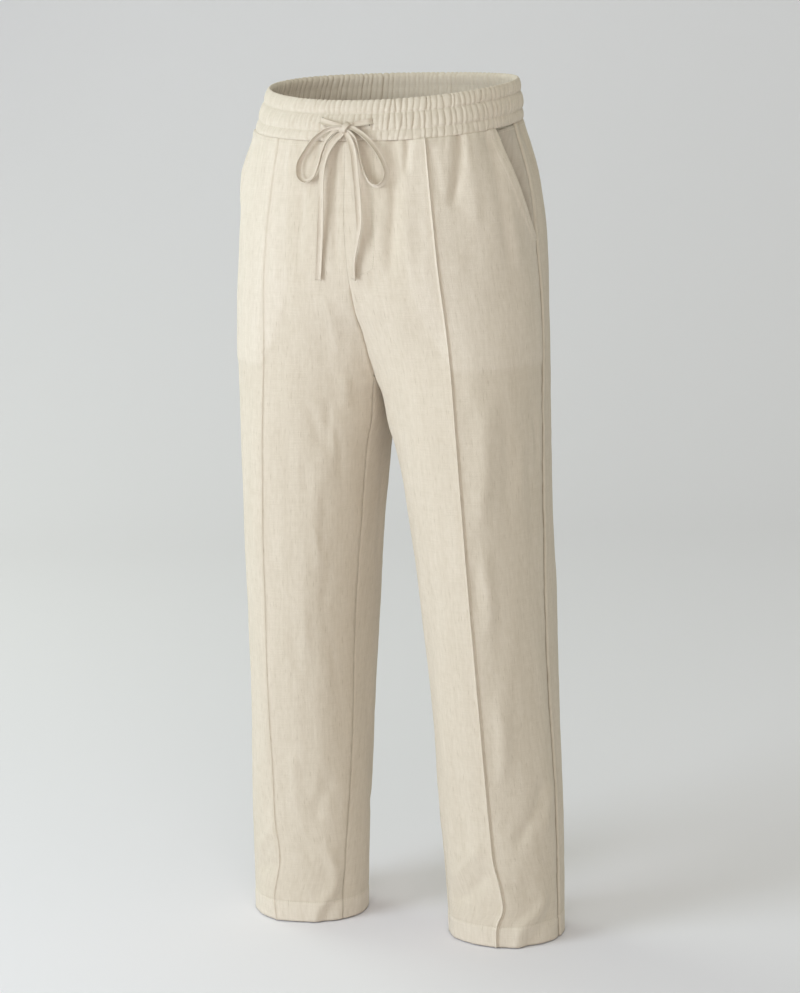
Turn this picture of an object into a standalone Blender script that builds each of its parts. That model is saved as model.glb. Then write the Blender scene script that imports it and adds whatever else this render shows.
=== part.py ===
"""Linen drawstring trousers, filled out and standing open as worn.

Frame: metres, +Z up, -Y the wearer's front, +X the wearer's left. The origin is the waist: the
middle of the waistband's ring, half way up the band. Heights in the tables are above the hems,
and WAIST takes them down to the origin.

Each cloth piece is a wall: a sheet of points on the garment's outer surface, and the same points
moved in by the wall's thickness. The outer surface is a polar outline about each leg's own axis,
r(phi, height), with phi = 0 to the front and growing to the outside. Below the crotch the
outline is the leg's superellipse; above, it is the hips' superellipse, pulled in at the centre
to the crotch seam.
"""

from math import pi

import bmesh
import bpy
import numpy as np

# ---------------------------------------------------------------- named sizes
WAIST = 1.010         # origin above the hems
WALL = 0.0012         # one layer of cloth, as modelled
HEM_WALL = 0.0024     # folded hem
HEM_DEPTH = 0.025     # hem fold's height
GAP = 0.0003          # between pieces at a seam
CROTCH_H = 0.690      # crotch point
CROTCH_Y = -0.066
EXP_LEG = 2.15        # superellipse powers
EXP_HIP = 2.3
PULL_WIDTH = 0.80     # radians over which the centre seam pulls the outline
PIN_HALF = 0.0012     # pintuck: half width and height of its ridge
PIN_HIGH = 0.0014
POCKET_BOTTOM = 0.845  # where the slant meets the side seam
BAG_BOTTOM = 0.705
BAND_WALL = 0.0026    # waistband: two layers and elastic
CHANNEL_PUFF = 0.0018  # how far a channel stands out between its stitch lines
TAPE_WIDE = 0.0080    # drawstring
TAPE_THICK = 0.0012

# leg axis and superellipse, and how far the inner side is pushed in under the crotch
LEG_COLUMNS = ("height", "x", "y", "half_width", "half_depth", "inner_push")
LEG = (
    (-0.02, 0.1341, -0.0284, 0.0719, 0.0620, 0.0000),
    (0.00, 0.1337, -0.0278, 0.0723, 0.0627, 0.0000),
    (0.12, 0.1309, -0.0234, 0.0747, 0.0681, 0.0000),
    (0.30, 0.1235, -0.0163, 0.0744, 0.0869, 0.0000),
    (0.50, 0.1128, -0.0141, 0.0817, 0.0988, 0.0000),
    (0.57, 0.1078, -0.0135, 0.0861, 0.1008, 0.0004),
    (0.61, 0.1050, -0.0131, 0.0888, 0.1018, 0.0036),
    (0.634, 0.1034, -0.0129, 0.0905, 0.1022, 0.0078),
    (0.668, 0.1012, -0.0126, 0.0928, 0.1024, 0.0102),
    (0.690, 0.1001, -0.0125, 0.0945, 0.1022, 0.0160),
    (0.76, 0.0967, -0.0119, 0.0997, 0.1011, 0.0160),
    (0.90, 0.0930, -0.0110, 0.1050, 0.1000, 0.0160),
    (1.05, 0.0900, -0.0100, 0.1050, 0.1000, 0.0160),
)
# hips and waist
HIP_COLUMNS = ("height", "half_width", "half_depth", "y")
HIP = (
    (0.50, 0.1930, 0.1260, -0.0120),
    (0.60, 0.1935, 0.1290, -0.0110),
    (0.70, 0.1938, 0.1310, -0.0090),
    (0.76, 0.1931, 0.1335, -0.0065),
    (0.84, 0.1896, 0.1371, -0.0004),
    (0.92, 0.1813, 0.1289, 0.0007),
    (0.985, 0.1636, 0.1187, -0.0002),
    (1.02, 0.1560, 0.1140, 0.0000),
)
# centre seams, waist to crotch
FRONT_SEAM = (
    (1.02, -0.1170), (0.985, -0.1189), (0.92, -0.1282), (0.86, -0.1318), (0.8136, -0.1243),
    (0.7753, -0.1117), (0.7466, -0.0937), (0.7207, -0.0812), (0.70, -0.0704), (CROTCH_H, CROTCH_Y),
)
BACK_SEAM = (
    (1.02, 0.1140), (0.985, 0.1185), (0.92, 0.1296), (0.84, 0.1367), (0.80, 0.1300),
    (0.765, 0.1140), (0.738, 0.0910), (0.716, 0.0620), (0.702, 0.0300), (0.694, -0.0050),
    (0.6908, -0.0400), (CROTCH_H, CROTCH_Y),
)
# (height, x) of the pintuck; (height, y behind the leg axis) of the side seam;
# (height, angle) of the inseam; (height, reach) of the pocket's slant before the side seam;
# (height, x) of the pocket bag's inner edge
PINTUCK = ((-0.02, 0.1480), (0, 0.1485), (0.2, 0.143), (0.4, 0.136), (0.6, 0.1275), (0.72, 0.1207), (0.86, 0.1083), (0.985, 0.094), (1.02, 0.090))
SIDE_SEAM = ((-0.02, -0.0047), (0, -0.0047), (0.2, -0.0062), (0.4, -0.0064), (0.6, -0.001), (0.75, 0.004), (0.85, 0.008), (0.95, 0.009), (1.02, 0.010))
INSEAM = ((-0.02, -1.02), (0, -1.025), (0.2, -1.135), (0.4, -1.165), (0.6, -1.150), (0.66, -1.130), (CROTCH_H, -1.0803))
SLANT = ((0.80, 0.0), (POCKET_BOTTOM, 0.0), (0.881, 0.016), (0.916, 0.028), (0.949, 0.038), (1.0, 0.046))
BAG_EDGE = ((0.70, 0.128), (0.712, 0.122), (0.735, 0.108), (0.79, 0.084), (0.86, 0.076), (1.0, 0.074))
# waistband's top edge
RIM = {"half_width": 0.1564, "half_depth": 0.1109, "y": 0.0125, "height": 1.0336, "tilt": 0.0795, "saddle": 0.0051}
CHANNELS = (0.0, 0.27, 0.69, 1.0)  # stitch lines up the band, as fractions

# rows of each leg piece, by height at the side seam; the crotch point starts one of them
ROW_HEIGHTS = (0.986, 0.966, 0.940, 0.912, 0.880, 0.845, 0.808, 0.771, 0.737, 0.705, 0.672, 0.635,
               0.595, 0.550, 0.495, 0.435, 0.370, 0.305, 0.240, 0.180, 0.125, 0.080, 0.046, 0.0262,
               0.0250, 0.0)
CROTCH_ROW = {"front": 10, "back": 10}

COLOURS = {  # linear
    "linen": (0.70, 0.62, 0.50),
    "linen_shade": (0.60, 0.52, 0.41),
    "tape": (0.66, 0.58, 0.46),
}


# ---------------------------------------------------------------- outer surface
def smooth(table, x, column=1):
    """Cubic Hermite through one column of a table, tangents from the neighbours."""
    rows = np.array(sorted(table), float)
    xs, ys = rows[:, 0], rows[:, column]
    slope = np.diff(ys) / np.diff(xs)
    h = np.diff(xs)
    m = np.concatenate([slope[:1], (slope[:-1] * h[1:] + slope[1:] * h[:-1]) / (h[1:] + h[:-1]), slope[-1:]])
    x = np.clip(np.asarray(x, float), xs[0], xs[-1])
    i = np.clip(np.searchsorted(xs, x, side="right") - 1, 0, len(xs) - 2)
    t = (x - xs[i]) / h[i]
    return (ys[i] * (1 + 2 * t) * (1 - t) ** 2 + m[i] * h[i] * t * (1 - t) ** 2
            + ys[i + 1] * t * t * (3 - 2 * t) + m[i + 1] * h[i] * t * t * (t - 1))


def leg(name, height):
    return smooth(LEG, height, LEG_COLUMNS.index(name))


def hip(name, height):
    return smooth(HIP, height, HIP_COLUMNS.index(name))


def step(x, low, high):
    t = np.clip((np.asarray(x, float) - low) / (np.asarray(high) - low), 0, 1)
    return t * t * (3 - 2 * t)


def leg_radius(phi, height):
    a, b = leg("half_width", height), leg("half_depth", height)
    return ((np.abs(np.sin(phi)) / a) ** EXP_LEG + (np.abs(np.cos(phi)) / b) ** EXP_LEG) ** (-1 / EXP_LEG)


def hip_radius(phi, height):
    """Where a ray from the leg's axis meets the hips' superellipse."""
    cx, cy = leg("x", height), leg("y", height)
    a, b, y = hip("half_width", height), hip("half_depth", height), hip("y", height)
    low = np.zeros(np.broadcast(phi, height).shape)
    high = low + 0.45
    for _ in range(30):
        r = (low + high) / 2
        inside = (np.abs((cx + r * np.sin(phi)) / a) ** EXP_HIP
                  + np.abs((cy - r * np.cos(phi) - y) / b) ** EXP_HIP) < 1
        low, high = np.where(inside, r, low), np.where(inside, high, r)
    return (low + high) / 2


def plain_radius(phi, height):
    """From the leg's outline to the hips', over a longer drop behind, where the cloth hangs from the seat."""
    behind = step(-np.cos(phi), 0.60, 1.0)
    w = step(height, 0.70 - 0.15 * behind, 0.84 + 0.03 * behind)
    return (1 - w) * leg_radius(phi, height) + w * hip_radius(phi, height)


def inner_edge(which, height):
    """(phi, r) of the centre seam above the crotch, and of the inseam below."""
    up = np.maximum(height, CROTCH_H)
    y = smooth(FRONT_SEAM if which == "front" else BACK_SEAM, up)
    cx, cy = leg("x", height), leg("y", height)
    phi = np.arctan2(-cx, cy - y)
    r = np.hypot(cx, y - cy)
    below = np.asarray(height) < CROTCH_H
    phi = np.where(below, smooth(INSEAM, np.minimum(height, CROTCH_H)), phi)
    r = np.where(below, leg_radius(phi, height) + leg("inner_push", height), r)
    if which == "back":
        phi = np.where(phi < 0, phi + 2 * pi, phi)
    return phi, r


def pull(q, round_off):
    """How the centre seam's pull fades over the outline: a crease at the seam, or rounded off."""
    q = np.clip(np.abs(q), 0, 1)
    crease = (1 - q) ** 2 * (1 + 0.6 * q)
    return crease + ((1 - q * q) ** 2 * (1 - 0.45 * q) - crease) * round_off


def surface(phi, height):
    """Points of the left half's outer surface."""
    phi, height = np.broadcast_arrays(np.asarray(phi, float), np.asarray(height, float))
    plain = plain_radius(phi, height)
    r = plain.copy()
    round_off = step(CROTCH_H - height, 0.0, 0.04)
    for which in ("front", "back"):
        edge, r_edge = inner_edge(which, height)
        q = (phi - edge) / PULL_WIDTH if which == "front" else (edge - phi) / PULL_WIDTH
        r = r + (r_edge - plain_radius(edge, height)) * pull(q, round_off)
    x = leg("x", height) + r * np.sin(phi)
    x = np.maximum(x, 0.0009 * step(CROTCH_H - height, 0, 0.01))
    return np.stack([x + GAP / 2, leg("y", height) - r * np.cos(phi), height - WAIST], -1)


def radius_at(phi, height):
    p = surface(phi, height)
    return np.hypot(p[..., 0] - leg("x", height), p[..., 1] - leg("y", height))


def phi_at_x(x, height):
    """The front direction in which the surface has this x."""
    phi = np.zeros(np.broadcast(x, height).shape)
    for _ in range(12):
        phi = np.arcsin(np.clip((x - leg("x", height)) / radius_at(phi, height), -0.98, 0.98))
    return phi


def phi_side(height):
    """The side seam's direction."""
    phi = np.full(np.shape(height), pi / 2)
    for _ in range(6):
        phi = pi / 2 + np.arcsin(smooth(SIDE_SEAM, height) / radius_at(phi, height))
    return phi


def waist_seam(phi):
    """Height of the seam under the waistband, lower in front."""
    height = np.full(np.shape(phi), 0.985)
    for _ in range(5):
        y = surface(phi, height)[..., 1]
        height = 0.986 + 0.0604 * y - 0.2604 * y * y
    return height


def normals(phi, height, on_centre):
    """Outward normals; on_centre marks the points of a centre seam, where the cloth has one side only."""
    dp, dh = 0.004, 0.0005
    top = np.where(on_centre | (np.abs(height - CROTCH_H) < 0.0006), 0.0, dh)
    right = surface(phi + dp, height)
    left = surface(np.where(on_centre, phi, phi - dp), height)
    n = np.cross(right - left, surface(phi, height + top) - surface(phi, height - dh))
    n /= np.linalg.norm(n, axis=-1, keepdims=True)
    n[..., 0] = np.where(on_centre, np.minimum(n[..., 0], 0), n[..., 0])
    return n / np.linalg.norm(n, axis=-1, keepdims=True)


# ---------------------------------------------------------------- leg pieces as grids
def seam_heights(which, count):
    """Heights of count + 1 points, equally spaced along the centre seam from waist to crotch."""
    table = FRONT_SEAM if which == "front" else BACK_SEAM
    phi0 = inner_edge(which, 0.98)[0]
    top = float(waist_seam(phi0))
    # the seam is steep at the top and flat at the crotch, so it is walked finely
    t = np.linspace(0, 1, 4001) ** 2.5
    h = CROTCH_H + (top - CROTCH_H) * t[::-1]
    y = smooth(table, h)
    along = np.concatenate([[0], np.cumsum(np.hypot(np.diff(h), np.diff(y)))])
    outer = np.array(ROW_HEIGHTS[: count + 1])
    wanted = (outer[0] - outer) / (outer[0] - outer[-1]) * along[-1]
    return np.interp(wanted, along, h)


def piece_rows(which):
    """(inner edge height, side seam height) of each row."""
    k = CROTCH_ROW[which]
    outer = np.array(ROW_HEIGHTS)
    inner = np.empty_like(outer)
    inner[: k + 1] = seam_heights(which, k)
    inner[k] = CROTCH_H
    rest = outer[k + 1:]
    inner[k + 1:] = rest + (CROTCH_H - outer[k]) * np.clip((rest - 0.046) / (outer[k] - 0.046), 0, 1)
    return inner, outer


def grid(which, spans):
    """phi, height and on_centre for a leg piece. spans lists, from the inner edge to the side, how
    the columns are shared: (columns, edge function of height), each edge a direction."""
    inner, outer = piece_rows(which)
    k = CROTCH_ROW[which]
    total = sum(n for n, _ in spans)
    sign = 1 if which == "front" else -1
    phis, heights = [], []
    for row, (low, high) in enumerate(zip(inner, outer)):
        phi_in = float(inner_edge(which, low)[0])
        if row >= k:
            phi_in += sign * GAP / 2 / 0.1
        line, at = [phi_in], [low]
        done = 0
        for n, edge in spans:
            start, start_h = line[-1], at[-1]
            done += n
            part = done / total
            # a row leaves the seam quickly and then runs level
            end_h = low + (high - low) * (1 - (1 - part) ** 2)
            end = float(edge(end_h))
            for i in range(1, n + 1):
                line.append(start + (end - start) * i / n)
                at.append(start_h + (end_h - start_h) * i / n)
        phis.append(line)
        heights.append(at)
    phi, height = np.array(phis), np.array(heights)
    # the top row runs along the waist seam, and the rows under it follow
    top = waist_seam(phi[0]) - GAP
    fade = np.clip((np.array(ROW_HEIGHTS) - 0.86) / (ROW_HEIGHTS[0] - 0.86), 0, 1)[:, None] ** 2
    height = height + (top - height[0]) * fade
    centre = np.zeros(phi.shape, bool)
    centre[:k, 0] = True
    phi[:k, 0] = inner_edge(which, height[:k, 0])[0]
    return phi, height, centre


def front_edge(height):
    """The front piece's outer edge: the pocket's slant, and the side seam under it."""
    side = phi_side(height)
    reach = np.where(height > POCKET_BOTTOM, smooth(SLANT, height), 0.0)
    return side - (np.maximum(reach, 0) + GAP / 2) / radius_at(side, height)


def pin(offset):
    return lambda h: phi_at_x(smooth(PINTUCK, h), h) + offset / 0.1


# ---------------------------------------------------------------- meshes
def material(name, rgb, roughness):
    made = bpy.data.materials.new(name)
    made.use_nodes = True
    shader = made.node_tree.nodes["Principled BSDF"]
    shader.inputs["Base Color"].default_value = (*rgb, 1)
    shader.inputs["Roughness"].default_value = roughness
    shader.inputs["Metallic"].default_value = 0
    made.diffuse_color = (*rgb, 1)
    return made


def grid_triangles(rows, columns, points, ring=False):
    """Two triangles a cell, split along the shorter diagonal."""
    faces = []
    for i in range(rows - 1):
        for j in range(columns if ring else columns - 1):
            a, b = i * columns + j, i * columns + (j + 1) % columns
            c, d = a + columns, b + columns
            if np.linalg.norm(points[a] - points[d]) <= np.linalg.norm(points[b] - points[c]):
                faces += [(a, c, d), (a, d, b)]
            else:
                faces += [(a, c, b), (b, c, d)]
    return faces


def wall(name, outer, inner, faces, finish, mirror=False):
    """A closed wall from a sheet of triangles, its inner points, and rims along its free edges."""
    outer, inner = outer.reshape(-1, 3).copy(), inner.reshape(-1, 3).copy()
    if mirror:
        outer[:, 0] *= -1
        inner[:, 0] *= -1
        faces = [f[::-1] for f in faces]
    n = len(outer)
    edges = {}
    for f in faces:
        for a, b in zip(f, f[1:] + f[:1]):
            edges[(a, b)] = edges.get((a, b), 0) + 1
    free = [(a, b) for a, b in edges if (b, a) not in edges]
    bm = bmesh.new()
    verts = [bm.verts.new(p) for p in np.vstack([outer, inner])]
    for f in faces:
        bm.faces.new([verts[i] for i in f])
        bm.faces.new([verts[n + i] for i in f[::-1]])
    for a, b in free:
        bm.faces.new([verts[a], verts[n + a], verts[n + b]])
        bm.faces.new([verts[a], verts[n + b], verts[b]])
    bmesh.ops.delete(bm, geom=[v for v in bm.verts if not v.link_faces], context="VERTS")
    mesh = bpy.data.meshes.new(name)
    bm.to_mesh(mesh)
    bm.free()
    mesh.shade_smooth()
    mesh.set_sharp_from_angle(angle=0.7)
    mesh.materials.append(finish)
    made = bpy.data.objects.new(name, mesh)
    bpy.context.scene.collection.objects.link(made)
    return made


def leg_pieces(finish, shade):
    # fronts, with the pintuck as a ridge of three columns
    spans = [(6, pin(-2 * PIN_HALF)), (1, pin(-PIN_HALF)), (1, pin(PIN_HALF)), (1, pin(2 * PIN_HALF)), (5, front_edge)]
    phi, height, centre = grid("front", spans)
    n = normals(phi, height, centre)
    flat = surface(phi, height)
    outer = flat.copy()
    outer[:, 7:9] += n[:, 7:9] * PIN_HIGH
    depth = np.where(height > HEM_DEPTH + 0.0006, WALL, HEM_WALL)[..., None]
    faces = grid_triangles(*phi.shape, flat.reshape(-1, 3))
    inner = flat - n * depth
    inner[..., 0] = np.maximum(inner[..., 0], GAP / 2)
    for side in ("left", "right"):
        wall(f"front_{side}", outer, inner, faces, finish, side == "right")
    # backs
    edge = lambda h: phi_side(h) + GAP / 2 / 0.1
    bphi, bheight, bcentre = grid("back", [(11, edge)])
    bn = normals(bphi, bheight, bcentre)
    bflat = surface(bphi, bheight)
    depth = np.where(bheight > HEM_DEPTH + 0.0006, WALL, HEM_WALL)[..., None]
    binner = bflat - bn * depth
    binner[..., 0] = np.maximum(binner[..., 0], GAP / 2)
    bfaces = [f[::-1] for f in grid_triangles(*bphi.shape, bflat.reshape(-1, 3))]
    for side in ("left", "right"):
        wall(f"back_{side}", bflat, binner, bfaces, finish, side == "right")
    pockets(phi, height, shade)


def pockets(phi, height, finish):
    """Facing and bag: the front's own points moved in, run on past the slant to the side seam."""
    last = ROW_HEIGHTS.index(BAG_BOTTOM)
    first, slant = 4, phi.shape[1] - 1
    ph, he = phi[: last + 1, first:], height[: last + 1, first:].copy()
    he[0] -= 0.001
    side = phi_side(he[:, -1]) - GAP / 2 / 0.1
    inside = WALL + GAP + 0.0001
    reach = np.clip(smooth(SLANT, he[:, -1]) / 0.020, 0, 1) * (he[:, -1] > POCKET_BOTTOM)
    depth = np.full(ph.shape, inside)
    for share in (0.5, 1.0):
        ph = np.column_stack([ph, phi[: last + 1, slant] + share * (side - phi[: last + 1, slant])])
        he = np.column_stack([he, he[:, slant - first]])
        depth = np.column_stack([depth, inside - share * reach * inside])
    points, n = surface(ph, he), normals(ph, he, np.zeros(ph.shape, bool))
    outer = points - n * depth[..., None]
    inner = outer - n * WALL
    wide = ph.shape[1]
    bottom = ROW_HEIGHTS.index(POCKET_BOTTOM)
    # past the slant the columns end in a point at its lower end, and the bag's inner edge slopes out
    merge = {i * wide + j: i * wide + slant - first for i in range(bottom, last + 1) for j in (wide - 2, wide - 1)}
    left_out = {(last, 0), (last, 1), (last - 1, 0)}
    kept = []
    for face in grid_triangles(last + 1, wide, points.reshape(-1, 3)):
        face = tuple(merge.get(i, i) for i in face)
        if len(set(face)) == 3 and not left_out & {divmod(i, wide) for i in face}:
            kept.append(face)
    for which in ("left", "right"):
        wall(f"pocket_{which}", outer, inner, kept, finish, which == "right")


# ---------------------------------------------------------------- waistband
def rim_point(angle):
    """The waistband's top edge in a direction about the waist's axis, 0 to the front."""
    s, c = np.sin(angle), np.cos(angle)
    r = 1 / np.hypot(s / RIM["half_width"], c / RIM["half_depth"])
    y = RIM["y"] - r * c
    share = np.abs(r * c / RIM["half_depth"])
    return np.stack([r * s, y, RIM["height"] + RIM["tilt"] * (y - RIM["y"]) - RIM["saddle"] * share**2 - WAIST], -1)


def band_line(count):
    """Bottom and top points of the band round one half, front centre to back centre, both ends included."""
    front, back = float(inner_edge("front", 0.976)[0]), float(inner_edge("back", 0.990)[0])
    phi = front + (back - front) * np.linspace(0, 1, count)
    low = surface(phi, waist_seam(phi))
    low[:, 0] -= GAP / 2
    low[0, 0] = low[-1, 0] = 0
    angle = np.arctan2(low[:, 0], -low[:, 1])
    angle[-1] = pi
    return low, rim_point(angle)


def band_points(low, high, t, puff, depth):
    """Points at fraction t up the band, standing out by its channel's puff, moved in by depth."""
    flat = low + (high - low) * t
    out = flat * (1, 1, 0)
    centre = np.array([0, 0.006, 0])
    out = out - centre
    out /= np.linalg.norm(out, axis=1, keepdims=True)
    return flat + out * (puff - depth)


def waistband(finish):
    low, high = band_line(25)
    ring_low = np.vstack([low, low[-2:0:-1] * (-1, 1, 1)])
    ring_high = np.vstack([high, high[-2:0:-1] * (-1, 1, 1)])
    rows = []
    for a, b in zip(CHANNELS, CHANNELS[1:]):
        for s in (0.0, 0.5):
            rows.append((a + (b - a) * s, CHANNEL_PUFF * (4 * s * (1 - s)), 0.0))
    rows.append((1.0, 0.0, 0.0))
    for t in (1.0, 0.5, 0.0):
        rows.append((t, 0.0, BAND_WALL))
    loops = [band_points(ring_low, ring_high, t, puff, depth) for t, puff, depth in rows]
    count = len(ring_low)
    bm = bmesh.new()
    rings = [[bm.verts.new(p) for p in loop] for loop in loops]
    for first, second in zip(rings, rings[1:] + rings[:1]):
        edges = []
        for ring in (first, second):
            for i in range(count):
                pair = (ring[i], ring[(i + 1) % count])
                edges.append(bm.edges.get(pair) or bm.edges.new(pair))
        bmesh.ops.bridge_loops(bm, edges=edges)
    bmesh.ops.triangulate(bm, faces=bm.faces[:])
    bmesh.ops.recalc_face_normals(bm, faces=bm.faces[:])
    mesh = bpy.data.meshes.new("waistband")
    bm.to_mesh(mesh)
    bm.free()
    mesh.shade_smooth()
    mesh.set_sharp_from_angle(angle=0.9)
    mesh.materials.append(finish)
    bpy.context.scene.collection.objects.link(bpy.data.objects.new("waistband", mesh))


# ---------------------------------------------------------------- drawstring
def cloth_front(x, height):
    """y of the front of the garment at this x and height above the hems: band or leg piece."""
    x = abs(x)
    seam = 0.986 - 0.0604 * 0.12 - 0.2604 * 0.0144
    if height < seam:
        return float(surface(phi_at_x(x, height), height)[1])
    low, high = band_line(25)
    t = np.clip((height - WAIST - low[:, 2]) / (high[:, 2] - low[:, 2]), 0, 1)[:, None]
    line = low + (high - low) * t
    front = line[:10]
    return float(np.interp(x, front[:, 0], front[:, 1])) - CHANNEL_PUFF


# each stretch of the tape: x, how far in front of the cloth, height above the hems, and the roll of
# the tape's face from flat against the cloth, in degrees
ROUTE_COLUMNS = ("x", "out", "height", "roll")
KNOT = {"x": 0.0010, "out": 0.0058, "height": 0.9903, "half_wide": 0.0070, "half_deep": 0.0048, "half_high": 0.0062}
ROUTES = {
    "drawstring_left_run": ((-0.0330, 0.0018, 0.9976, 27), (-0.0200, 0.0034, 0.9950, 22), (-0.0072, 0.0042, 0.9925, 15)),
    "drawstring_left_loop": (
        (-0.0068, 0.0098, 0.9912, 40), (-0.0180, 0.0090, 0.9900, 45), (-0.0330, 0.0070, 0.9822, 52), (-0.0493, 0.0066, 0.9651, 55),
        (-0.0592, 0.0066, 0.9475, 55), (-0.0569, 0.0066, 0.9336, 55), (-0.0488, 0.0066, 0.9290, 55), (-0.0380, 0.0066, 0.9345, 55),
        (-0.0306, 0.0066, 0.9490, 52), (-0.0264, 0.0066, 0.9650, 50), (-0.0199, 0.0068, 0.9778, 46), (-0.0075, 0.0066, 0.9882, 40)),
    "drawstring_left_tail": (
        (-0.0040, 0.0032, 0.9832, 0), (-0.0121, 0.0026, 0.9765, 0), (-0.0203, 0.0020, 0.9655, 0), (-0.0256, 0.0014, 0.9490, 0),
        (-0.0280, 0.0014, 0.9260, 0), (-0.0284, 0.0014, 0.8960, 0), (-0.0308, 0.0014, 0.8620, 0), (-0.0371, 0.0014, 0.8135, 0)),
    "drawstring_right_run": ((0.0293, 0.0018, 0.9967, -27), (0.0195, 0.0034, 0.9952, -22), (0.0096, 0.0046, 0.9936, -15)),
    "drawstring_right_loop": (
        (0.0098, 0.0074, 0.9902, 40), (0.0165, 0.0074, 0.9874, 45), (0.0290, 0.0070, 0.9793, 52), (0.0402, 0.0066, 0.9677, 55),
        (0.0505, 0.0066, 0.9515, 55), (0.0543, 0.0066, 0.9370, 55), (0.0512, 0.0066, 0.9289, 55), (0.0443, 0.0066, 0.9249, 55),
        (0.0374, 0.0066, 0.9273, 55), (0.0306, 0.0066, 0.9365, 52), (0.0248, 0.0066, 0.9520, 50), (0.0208, 0.0068, 0.9670, 46),
        (0.0165, 0.0080, 0.9790, 42), (0.0092, 0.0088, 0.9862, 40)),
    "drawstring_right_tail": (
        (0.0040, 0.0032, 0.9832, 0), (0.0085, 0.0026, 0.9765, 0), (0.0122, 0.0020, 0.9640, 0), (0.0148, 0.0014, 0.9480, 0),
        (0.0174, 0.0014, 0.9264, 0), (0.0202, 0.0014, 0.9024, 0), (0.0213, 0.0014, 0.8805, 0), (0.0184, 0.0014, 0.8600, 0),
        (0.0135, 0.0014, 0.8390, 0), (0.0087, 0.0014, 0.8147, 0)),
}


def route_points(rows):
    """A smooth curve through a route's rows, and the roll along it."""
    pts = np.array([(x, cloth_front(x, h) - out, h - WAIST, roll) for x, out, h, roll in rows])
    along = np.concatenate([[0], np.cumsum(np.linalg.norm(np.diff(pts[:, :3], axis=0), axis=1))])
    count = max(3, int(round(along[-1] / (2.0 * TAPE_WIDE))) + 1)
    s = np.linspace(0, along[-1], count)
    table = [tuple([a, *p]) for a, p in zip(along, pts)]
    return np.stack([smooth(table, s, k) for k in range(1, 5)], -1)


def tape(name, rows, finish):
    pts = route_points(rows)
    p, roll = pts[:, :3], np.radians(pts[:, 3])
    tangent = np.gradient(p, axis=0)
    tangent /= np.linalg.norm(tangent, axis=1, keepdims=True)
    out = np.array([0.0, -1.0, 0.0]) - tangent * (tangent @ np.array([0.0, -1.0, 0.0]))[:, None]
    out /= np.linalg.norm(out, axis=1, keepdims=True)
    across = np.cross(tangent, out)
    wide = across * np.cos(roll)[:, None] + out * np.sin(roll)[:, None]
    thin = np.cross(wide, tangent)
    bm = bmesh.new()
    rings = []
    for q, w, t in zip(p, wide, thin):
        corners = [(-1, -1), (1, -1), (1, 1), (-1, 1)]
        rings.append([bm.verts.new(q + w * TAPE_WIDE / 2 * a + t * TAPE_THICK / 2 * b) for a, b in corners])
    for first, second in zip(rings, rings[1:]):
        for i in range(4):
            j = (i + 1) % 4
            bm.faces.new([first[i], first[j], second[j], second[i]])
    bm.faces.new(rings[0][::-1])
    bm.faces.new(rings[-1])
    bmesh.ops.triangulate(bm, faces=bm.faces[:])
    bmesh.ops.recalc_face_normals(bm, faces=bm.faces[:])
    mesh = bpy.data.meshes.new(name)
    bm.to_mesh(mesh)
    bm.free()
    mesh.materials.append(finish)
    bpy.context.scene.collection.objects.link(bpy.data.objects.new(name, mesh))


def knot(finish):
    bm = bmesh.new()
    bmesh.ops.create_icosphere(bm, subdivisions=2, radius=1.0)
    y = cloth_front(KNOT["x"], KNOT["height"]) - KNOT["out"]
    for v in bm.verts:
        x, d, z = v.co
        v.co = (KNOT["x"] + x * KNOT["half_wide"], y + d * KNOT["half_deep"], KNOT["height"] - WAIST + z * KNOT["half_high"])
    mesh = bpy.data.meshes.new("drawstring_knot")
    bm.to_mesh(mesh)
    bm.free()
    mesh.shade_smooth()
    mesh.materials.append(finish)
    bpy.context.scene.collection.objects.link(bpy.data.objects.new("drawstring_knot", mesh))


def main():
    for obj in list(bpy.data.objects):
        bpy.data.objects.remove(obj, do_unlink=True)
    linen = material("linen", COLOURS["linen"], 0.85)
    shade = material("linen_shade", COLOURS["linen_shade"], 0.85)
    cord = material("tape", COLOURS["tape"], 0.80)
    leg_pieces(linen, shade)
    waistband(linen)
    for name, rows in ROUTES.items():
        tape(name, rows, cord)
    knot(cord)


main()
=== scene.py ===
"""Linen drawstring trousers: the cloth, tape and stitching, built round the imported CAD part.

Frame: metres, +Z up, -Y the wearer's front, +X the wearer's left, origin at the waist. Heights in
the tables are above the hems, and WAIST takes them down to the origin. The panels' form is the
CAD's own: the same tables and the same outline functions as the part's source, sampled finely.
On that form lie the garment's reliefs, as moves along the cloth's normal: the pressed crease and
pintuck, seam grooves, folds placed one by one, gathers under the band, and a fine crumple.
"""

from math import pi

import bpy
import numpy as np
from mathutils import Matrix, Vector
from mathutils.bvhtree import BVHTree


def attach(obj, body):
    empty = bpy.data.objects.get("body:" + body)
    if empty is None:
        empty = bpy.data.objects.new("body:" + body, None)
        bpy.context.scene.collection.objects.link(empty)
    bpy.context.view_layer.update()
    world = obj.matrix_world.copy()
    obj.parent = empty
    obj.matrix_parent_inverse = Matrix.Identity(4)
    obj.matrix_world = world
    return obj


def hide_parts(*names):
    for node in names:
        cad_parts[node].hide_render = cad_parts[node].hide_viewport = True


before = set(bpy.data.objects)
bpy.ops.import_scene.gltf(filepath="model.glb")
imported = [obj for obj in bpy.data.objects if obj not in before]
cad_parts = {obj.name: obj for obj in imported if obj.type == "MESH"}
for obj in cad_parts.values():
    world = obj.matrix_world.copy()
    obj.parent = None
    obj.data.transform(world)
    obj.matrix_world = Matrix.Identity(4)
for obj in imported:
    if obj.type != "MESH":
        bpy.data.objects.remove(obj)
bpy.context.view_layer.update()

# ---------------------------------------------------------------- named sizes
WAIST = 1.010         # origin above the hems
WALL = 0.0012         # one layer of cloth, as modelled
HEM_WALL = 0.0024     # folded hem
HEM_DEPTH = 0.025     # hem fold's height
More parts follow.
